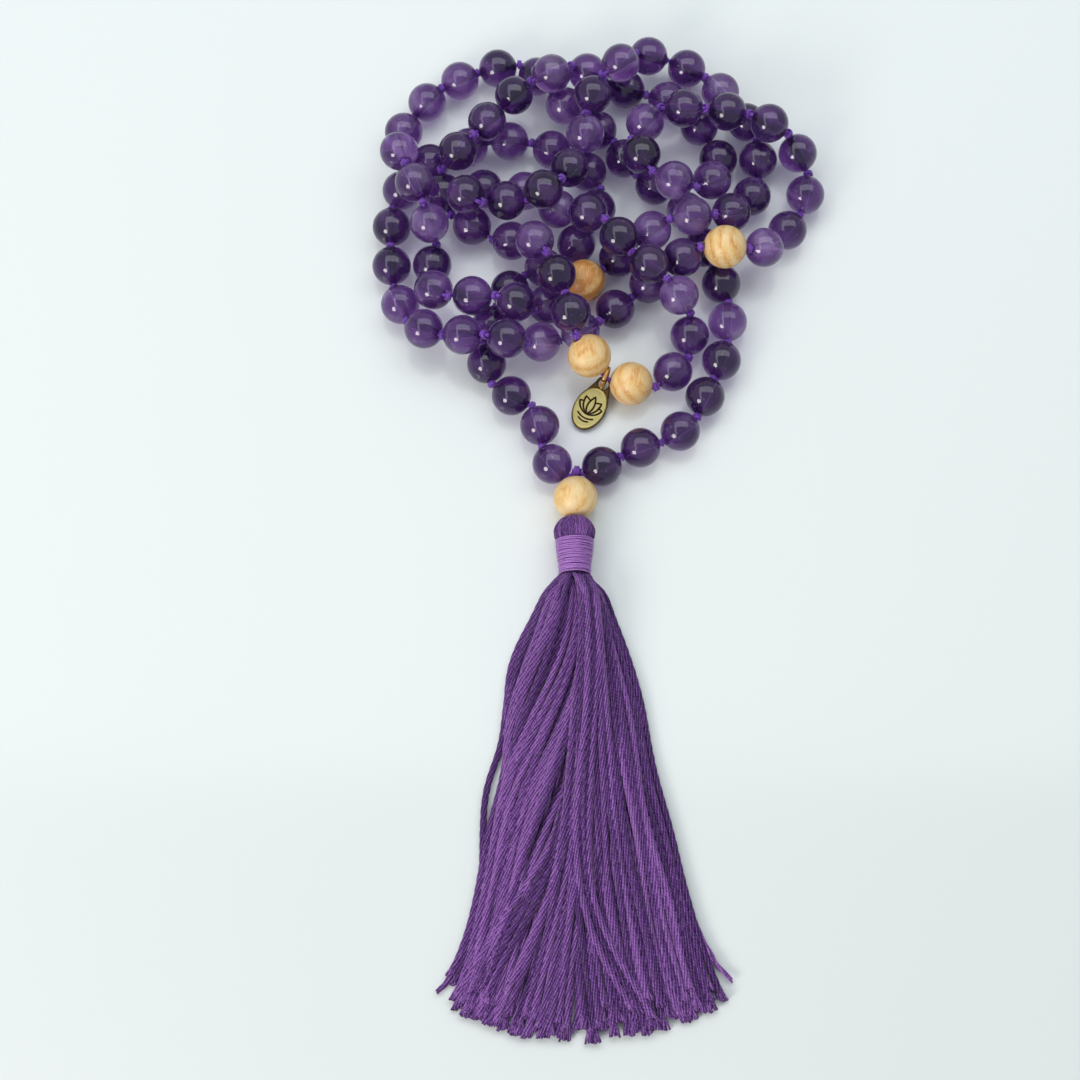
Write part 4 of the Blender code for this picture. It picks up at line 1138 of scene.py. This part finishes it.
# %% Press the pile to the tassel's back
# The pile's own top, averaged over the width of a lock, so that strands stay round on it.
LOCK_COLUMNS = 8                # to each side
reach = np.arange(-LOCK_COLUMNS, LOCK_COLUMNS + 1)
top = np.stack([np.roll(surface, aside, axis=1) for aside in reach]).max(axis=0)
top = np.stack([np.roll(top, aside, axis=1) for aside in reach]).mean(axis=0)
for column in range(len(COLUMNS)):
    top[:, column] = soften(top[:, column], 6)
NECK_LENGTH = 9                 # below this a strand's height is the pile's alone
LONGEST = 88.9
SHORTER_BY = 6.0                # at most
STRAND_POINTS = 150
chains, girths, tones = [], [], []
rows = np.arange(len(ROWS))
neck = np.clip(1 - ROWS / NECK_LENGTH, 0, 1)
neck = neck * neck * (3 - 2 * neck)
for order, (path, rest) in enumerate(zip(paths, heights)):
    column = ((path - COLUMNS[0]) / COLUMN_STEP).round().astype(int)
    column = np.clip(column, 0, len(COLUMNS) - 1)
    share = np.clip(rest / np.maximum(top[rows, column], 0.5), 0, 1.06)
    rest = soften(radius + share * (back[rows, column] - 2 * radius), 4)
    rest = np.maximum(rest, radius)
    rank = (order / (len(paths) - 1) - 0.5) * 0.4 + draw.uniform(-0.8, 0.8)
    rounding = np.sqrt(np.clip(neck_radius ** 2 - path ** 2, 0, None))
    rest = rest * (1 - neck) + (PIVOT.z / MM + rank * rounding) * neck
    side = np.clip(path / np.where(path < 0, half_left, half_right), -1, 1)
    down = ROWS * (1 - BOW * side ** 2)
    spots = np.linspace(-1, LONGEST - SHORTER_BY * draw.random() ** 2, STRAND_POINTS)
    chains.append(np.stack([PIVOT.x + np.interp(spots, ROWS, path) * MM,
                            NECK_Y - np.interp(spots, ROWS, down) * MM,
                            np.interp(spots, ROWS, rest) * MM], axis=1))
    width = np.interp(spots, ROWS, girth)
    width[-6:] *= [1.03, 1.06, 1.1, 1.15, 1.2, 1.25]
    girths.append(width)
    tones.append(draw.random())
# The skirt is three meshes: the fan with the two lowest locks, and the others in two parts.
first_top, second_top = FAN_STRANDS + 5, FAN_STRANDS + 50
for name, part in (("skirt_floss_lower", slice(0, first_top)),
                   ("skirt_floss_middle", slice(first_top, second_top)),
                   ("skirt_floss_upper", slice(second_top, None))):
    skirt = spin_floss(name, chains[part], girths[part], tones[part],
                       Strand=FLOSS_DIAMETER * MM)
    dress(skirt, "tassel", "cotton_floss", "tassel_skirt")
print("strands in the skirt:", len(chains))

# %% Frayed ends
# A cut strand opens into a tuft of single yarns, which point every way.
TUFT_YARNS = 20
tufts, widths = [], []
for chain in chains:
    end = Vector(chain[-1])
    way = (end - Vector(chain[-4])).normalized()
    for _ in range(TUFT_YARNS):
        aside = Vector((draw.uniform(-0.8, 0.8), 0, draw.uniform(-0.45, 0.45))) * MM
        start = end - way * draw.uniform(0.8, 2.4) * MM + aside * 0.5
        tip = end + way * draw.uniform(0.1, 0.8) * MM + aside * 1.3
        tip.z = max(tip.z, 0.15 * MM)
        tufts.append([start, (start + tip) / 2 + aside * 0.1, tip])
        widths.append([0.9, 1.1, 1.0])
# Two strands have crept out of the fan: right and left from the axis and down, from inside
# the skirt to the tip, in millimetres.
for line in (((22.0, 67), (24.3, 72), (26.2, 75.5), (28.8, 78.0)),
             ((-20.0, 69), (-22.3, 75), (-24.0, 78.3), (-25.9, 80.3))):
    for _ in range(3):
        stray = np.array([np.interp(np.linspace(0, 3, 9), range(4), [spot[i] for spot in line])
                          for i in (0, 1)]).T
        stray += np.linspace(0, 1, 9)[:, None] * draw.normal(0, 0.25, 2)
        tufts.append([Vector((PIVOT.x + x * MM, NECK_Y - y * MM, 0.8 * MM)) for x, y in stray])
        widths.append([2.0] * 6 + [1.7, 1.4, 1.1])
frayed = spin_floss("skirt_frayed_ends", tufts, widths, draw.uniform(0.4, 1, len(tufts)),
                    Strand=0.48 * MM, Plies=3)
dress(frayed, "tassel", "cotton_floss")

# %% Guru cord and the loop the tassel hangs by
guru_cord = round_curve("guru_cord_strands", [
    CENTRES[0] + guru_axis * GATHER_KNOT_DIAMETER * 0.3,
    GURU + guru_axis * WOOD_DIAMETER * 0.53], 1.0 * MM, nylon)
dress(guru_cord, "guru_cord", "nylon_cord", "guru_cord")
LOOP_RADIUS = 0.5 * MM
loop = round_curve("tassel_loop_thread", [
    middle("tassel_loop") + LOOP_RADIUS * np.array((0, math.cos(a), math.sin(a)))
    for a in np.linspace(0, math.tau, 16, endpoint=False)], 0.4 * MM, floss, cyclic=True)
dress(loop, "tassel_loop", "cotton_floss", "tassel_loop")

# %% [markdown]
# ## Ring and charm
# The charm hangs between the two middle markers on a jump ring, a bent wire whose ends meet
# but aren't joined. The charm is a cast oval with a rounded edge and an eye for the ring. Its
# face carries a lotus, a motif as old as these strings, drawn in sunk lines. Antique finish
# is a dark patina that is wiped off the high places and stays in the lines. The rim, the eye
# and the underside are also darker.

# %% Antique bronze
bronze, tree, shader = new_material("bronze_antique_patina")
place = add_node(tree, "ShaderNodeTexCoord").outputs["Object"]
recess = add_node(tree, "ShaderNodeAttribute", attribute_name="recess").outputs["Fac"]
# Wiping by hand leaves blotches about 1 mm wide.
blotch = add_node(tree, "ShaderNodeTexNoise", {
    "Vector": place, "Scale": texture_scale(1.1), "Detail": 3.0}).outputs["Fac"]
dark = weigh(tree, (weigh(tree, (blotch, 1.0), start=-0.5), 0.35), start=recess)
patina = add_node(tree, RAMP, {"Fac": dark}, stops=[
    (0.0, "#b3a66e"), (0.25, "#9d8f58"), (0.55, "#6d5636"), (0.9, "#2b2622")])
rough = add_node(tree, "ShaderNodeMapRange", {
    "Value": recess, "To Min": 0.42, "To Max": 0.75})
set_inputs(tree, shader, {
    "Base Color": patina.outputs["Color"], "Roughness": rough.outputs["Result"],
    "Metallic": 1.0})

# %% Where the charm hangs
RING_DIAMETER = 5.04 * MM       # outside
RING_WIRE = 0.84 * MM
EYE_HOLE = 2.1 * MM
CHARM_LENGTH = 9.4 * MM
CHARM_WIDTH = 6.6 * MM
CHARM_THICKNESS = 1.0 * MM
to_wire = (RING_DIAMETER - RING_WIRE) / 2
swing_axis = next(joint["axis"] for joint in frame["joints"] if joint["name"] == "ring_swing")
ring_middle = joint_at["charm_turn"] + Vector((0.6, 0.55, 0)) * MM
ring_axis = Vector(swing_axis).normalized()
hang = (ring_middle - joint_at["ring_swing"]).normalized()
level = ring_axis.cross(Vector((0, 0, 1))).normalized()
if level.y > 0:
    level = -level
eye_place = ring_middle + hang * to_wire
plate_middle = EYE_HOLE / 2 - 0.2 * MM + CHARM_LENGTH / 2
tilt = math.asin((eye_place.z - CHARM_THICKNESS / 2) / (plate_middle + CHARM_LENGTH / 2))
along = level * math.cos(tilt) - Vector((0, 0, math.sin(tilt)))
across = along.cross(Vector((0, 0, 1))).normalized()
facing = across.cross(along)
charm_matrix = Matrix((across, along, facing)).transposed().to_4x4()
charm_matrix.translation = eye_place

# %% Jump ring
HALF_GAP = math.radians(4)      # between the ends of the wire
GAP_AT = math.radians(118)
side = ring_axis.cross(hang)
arc = [ring_middle + (hang * math.cos(a) + side * math.sin(a)) * to_wire
       for a in np.linspace(GAP_AT + HALF_GAP, GAP_AT + math.tau - HALF_GAP, 56)]
ring_metal = repaint(bronze, "bronze_wire_rubbed_bright", ("#d0a566", "#d0a566"))
ring = round_curve("jump_ring_wire", arc, RING_WIRE, ring_metal, sides=12)
dress(ring, "jump_ring", "bronze", "jump_ring")

# %% Cast blank of the charm
EDGE_ROUND = 0.42 * MM
blank = bmesh.new()
sides = 72
profile = [(math.cos(a), math.sin(a)) for a in np.linspace(-math.pi / 2, math.pi / 2, 13)]
rings = []
for out_by, up in profile:
    inset = EDGE_ROUND * (1 - out_by)
    rings.append([blank.verts.new((
        (CHARM_WIDTH / 2 - inset) * math.sin(math.tau * i / sides),
        plate_middle - (CHARM_LENGTH / 2 - inset) * math.cos(math.tau * i / sides),
        up * CHARM_THICKNESS / 2)) for i in range(sides)])
for ring_low, ring_high in zip(rings, rings[1:]):
    bridge(blank, ring_low, ring_high)
blank.faces.new(rings[0])
blank.faces.new(rings[-1])
EYE_WIRE = 0.62 * MM
EYE_HALF_HEIGHT = 0.42 * MM     # it is a little higher than wide
eye_radius = EYE_HOLE / 2 + EYE_WIRE / 2
loops = []
for i in range(48):
    turn_by = math.tau * i / 48
    loops.append([blank.verts.new((
        (eye_radius + EYE_WIRE / 2 * math.cos(a)) * math.sin(turn_by),
        (eye_radius + EYE_WIRE / 2 * math.cos(a)) * math.cos(turn_by),
        EYE_HALF_HEIGHT * math.sin(a))) for a in np.linspace(0, math.tau, 16, endpoint=False)])
for loop_here, loop_next in zip(loops, loops[1:] + loops[:1]):
    bridge(blank, loop_here, loop_next)
# Two shoulders run from the eye into the plate.
for sign in (-1, 1):
    foot, top_end = Vector((sign * 1.9, 2.2, 0)) * MM, Vector((sign * 1.32, 0.2, 0)) * MM
    lean = (foot - top_end).to_track_quat("Z", "Y").to_matrix().to_4x4()
    bmesh.ops.create_cone(
        blank, cap_ends=True, segments=20, radius1=0.33 * MM, radius2=0.47 * MM,
        depth=(foot - top_end).length,
        matrix=Matrix.Translation((foot + top_end) / 2) @ lean)
bmesh.ops.create_uvsphere(
    blank, u_segments=24, v_segments=12, radius=0.9 * MM,
    matrix=Matrix.Translation((0, 1.95 * MM, 0)) @ Matrix.Diagonal((1.9, 0.9, 0.48, 1)))
holder = add_object("charm_blank", mesh_of(blank, "charm_blank"))
cast = holder.modifiers.new("cast", "REMESH")
cast.mode = "VOXEL"
cast.voxel_size = 0.07 * MM
soft = holder.modifiers.new("soft", "SMOOTH")
soft.factor = 0.5
soft.iterations = 14
charm_mesh = plain_mesh(holder)
print("charm faces:", len(charm_mesh.polygons))

# %% [markdown]
# The lotus is drawn with curves on the plate: a middle petal, two pairs of side petals and
# two lines of water. Each petal side is a bent line from the base to the tip. Vertices near a
# line are sunk, deepest in its middle, and marked darker, and so are the plate's edge, the eye
# and the underside.

# %% Engrave the lotus
LINE_HALF_WIDTH = 0.2 * MM
LINE_DEPTH = 0.14 * MM
FIELD_DEPTH = 0.06 * MM


def bent_line(start, bend, end):
    """Points on a curve from start to end, drawn towards bend, in millimetres."""
    return [tuple((1 - t) ** 2 * a + 2 * t * (1 - t) * b + t * t * c
                  for a, b, c in zip(start, bend, end)) for t in np.linspace(0, 1, 15)]


half_flower = [
    bent_line((0, -1.3), (1.35, 0.4), (0, 2.5)),            # middle petal
    bent_line((0.62, 1.45), (1.35, 1.75), (1.75, 1.85)),    # inner side petal, back
    bent_line((1.75, 1.85), (1.95, -0.3), (0.1, -1.3)),     # inner side petal, front
    bent_line((1.65, 0.75), (2.2, 0.8), (2.5, 0.55)),       # outer petal, back
    bent_line((2.5, 0.55), (2.0, -1.0), (0.2, -1.35)),      # outer petal, front
    bent_line((0, -2.2), (0.9, -2.2), (1.7, -1.75)),        # water
    bent_line((0, -2.9), (0.5, -2.9), (1.05, -2.65)),       # water, lower
]
drawing = half_flower + [[(-x, y) for x, y in line] for line in half_flower]
segments = np.array([(*a, *b) for line in drawing for a, b in zip(line, line[1:])]) * MM
spots = np.array([vertex.co for vertex in charm_mesh.vertices])
on_plate = np.stack([-spots[:, 0], plate_middle - spots[:, 1]], axis=1)
away = np.full(len(spots), 1.0)
for a, r in zip(segments[:, :2], segments[:, 2:] - segments[:, :2]):
    t = np.clip(((on_plate - a) @ r) / (r @ r), 0, 1)
    away = np.minimum(away, np.linalg.norm(on_plate - a - t[:, None] * r, axis=1))
face_up = spots[:, 2] > 0.15 * MM
sink = np.clip(1 - (away / LINE_HALF_WIDTH) ** 2, 0, 1) * face_up
# The field lies a little lower than its rounded rim, all round and below the eye.
from_edge = 1 - np.sqrt((on_plate[:, 0] / (CHARM_WIDTH / 2)) ** 2
                        + (on_plate[:, 1] / (CHARM_LENGTH / 2)) ** 2)
field = np.clip((from_edge - 0.10) / 0.05, 0, 1) * face_up
spots[:, 2] -= sink * LINE_DEPTH + field * FIELD_DEPTH
# The rim, the eye and the underside are made darker as well.
edge_dark = np.clip((0.13 - from_edge) / 0.1, 0, 1) * 0.6
recess = np.where(face_up, np.clip(np.maximum(sink ** 0.6, edge_dark), 0, 1), 0.62)
charm_mesh.vertices.foreach_set("co", spots.ravel())
charm_mesh.attributes.new("recess", "FLOAT", "POINT").data.foreach_set("value", recess)
charm_mesh.transform(charm_matrix)
charm_mesh.shade_smooth()
charm_mesh.materials.clear()
charm_mesh.materials.append(bronze)
dress(add_object("charm_lotus", charm_mesh), "charm", "bronze", "charm")

# %% [markdown]
# ## Table and light
# The mala lies on a glazed white board. A large soft panel with a narrow leg hangs over the
# table and a small round lamp stands low at the front left. Both show in every polished
# bead, and the rest of the room is dim, so the stones stay dark where they mirror nothing.

# %% Glazed board
board, tree, shader = new_material("glazed_board_cool_white")
set_inputs(tree, shader, {
    "Base Color": colour("#e9eeec"), "Roughness": 0.12, "Specular IOR Level": 0.35})
BOARD_SIDE = 6.0
bpy.ops.mesh.primitive_plane_add(size=BOARD_SIDE, location=(MOVE[0], MOVE[1], -0.2 * MM))
floor = bpy.context.object
floor.name = "table_board"
floor.data.materials.append(board)
floor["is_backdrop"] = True


# %% Lamps
def add_lamp(name, place, way, width, height, radiance, tint, shape="RECTANGLE"):
    """A soft lamp with a given size and surface brightness, that shines one way."""
    data = bpy.data.lights.new(name, "AREA")
    data.shape = shape
    data.size, data.size_y = width, height
    data.color = colour(tint)[:3]
    round_share = math.pi / 4 if shape == "DISK" else 1
    data.energy = radiance * math.pi * width * height * round_share
    lamp = add_object(name, data)
    lamp.location = place
    lamp.rotation_euler = way.to_track_quat("-Z", "Y").to_euler()


# The panel and its leg hang level, 0.8 m over the mala, and the lamp stands 0.9 m away.
PANEL_HEIGHT = 0.8
LAMP_DISTANCE = 0.9
PANEL_RADIANCE = 2.0
over = Vector((MOVE[0], MOVE[1] + 0.03, PANEL_HEIGHT))
down = Vector((0, 0, -1))
add_lamp("panel", over + Vector((0.10, 0.38, 0)), down, 1.34, 0.62, PANEL_RADIANCE, "#f7fbff")
add_lamp("panel_leg", over + Vector((-0.47, -0.33, 0)), down, 0.20, 0.80, PANEL_RADIANCE,
         "#f7fbff")
low_way = Vector((-0.60, -0.64, 0.48)).normalized()
add_lamp("round_lamp", Vector(MOVE) + low_way * LAMP_DISTANCE, -low_way, 0.36, 0.36, 12.2,
         "#fffaf5", shape="DISK")
world = bpy.data.worlds.new("dim_room")
bpy.context.scene.world = world
world.use_nodes = True
tree = world.node_tree
dim = tree.nodes["Background"]
set_inputs(tree, dim, {"Color": colour("#c9cfd2"), "Strength": 0.57})
# Seen past the table, in the stones or in metal, the room is a pale backdrop.
pale = add_node(tree, "ShaderNodeBackground", {"Color": colour("#dfe5e6"), "Strength": 0.72})
path = add_node(tree, "ShaderNodeLightPath")
seen = 0.0
for ray in ("Is Camera Ray", "Is Glossy Ray", "Is Transmission Ray"):
    seen = add_node(tree, MATH, (seen, path.outputs[ray]), operation="MAXIMUM").outputs["Value"]
either = add_node(tree, "ShaderNodeMixShader", {
    "Fac": seen, 1: dim.outputs["Background"], 2: pale.outputs["Background"]})
tree.links.new(either.outputs["Shader"], tree.nodes["World Output"].inputs["Surface"])

# %% Measure and finish
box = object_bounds()
for axis, label in enumerate("XYZ"):
    cad_side = (CAD_BOX[1][axis] - CAD_BOX[0][axis]) / MM
    side = (box[1][axis] - box[0][axis]) / MM
    print(f"{label}: solids {cad_side:.1f} mm, dressed {side:.1f} mm")
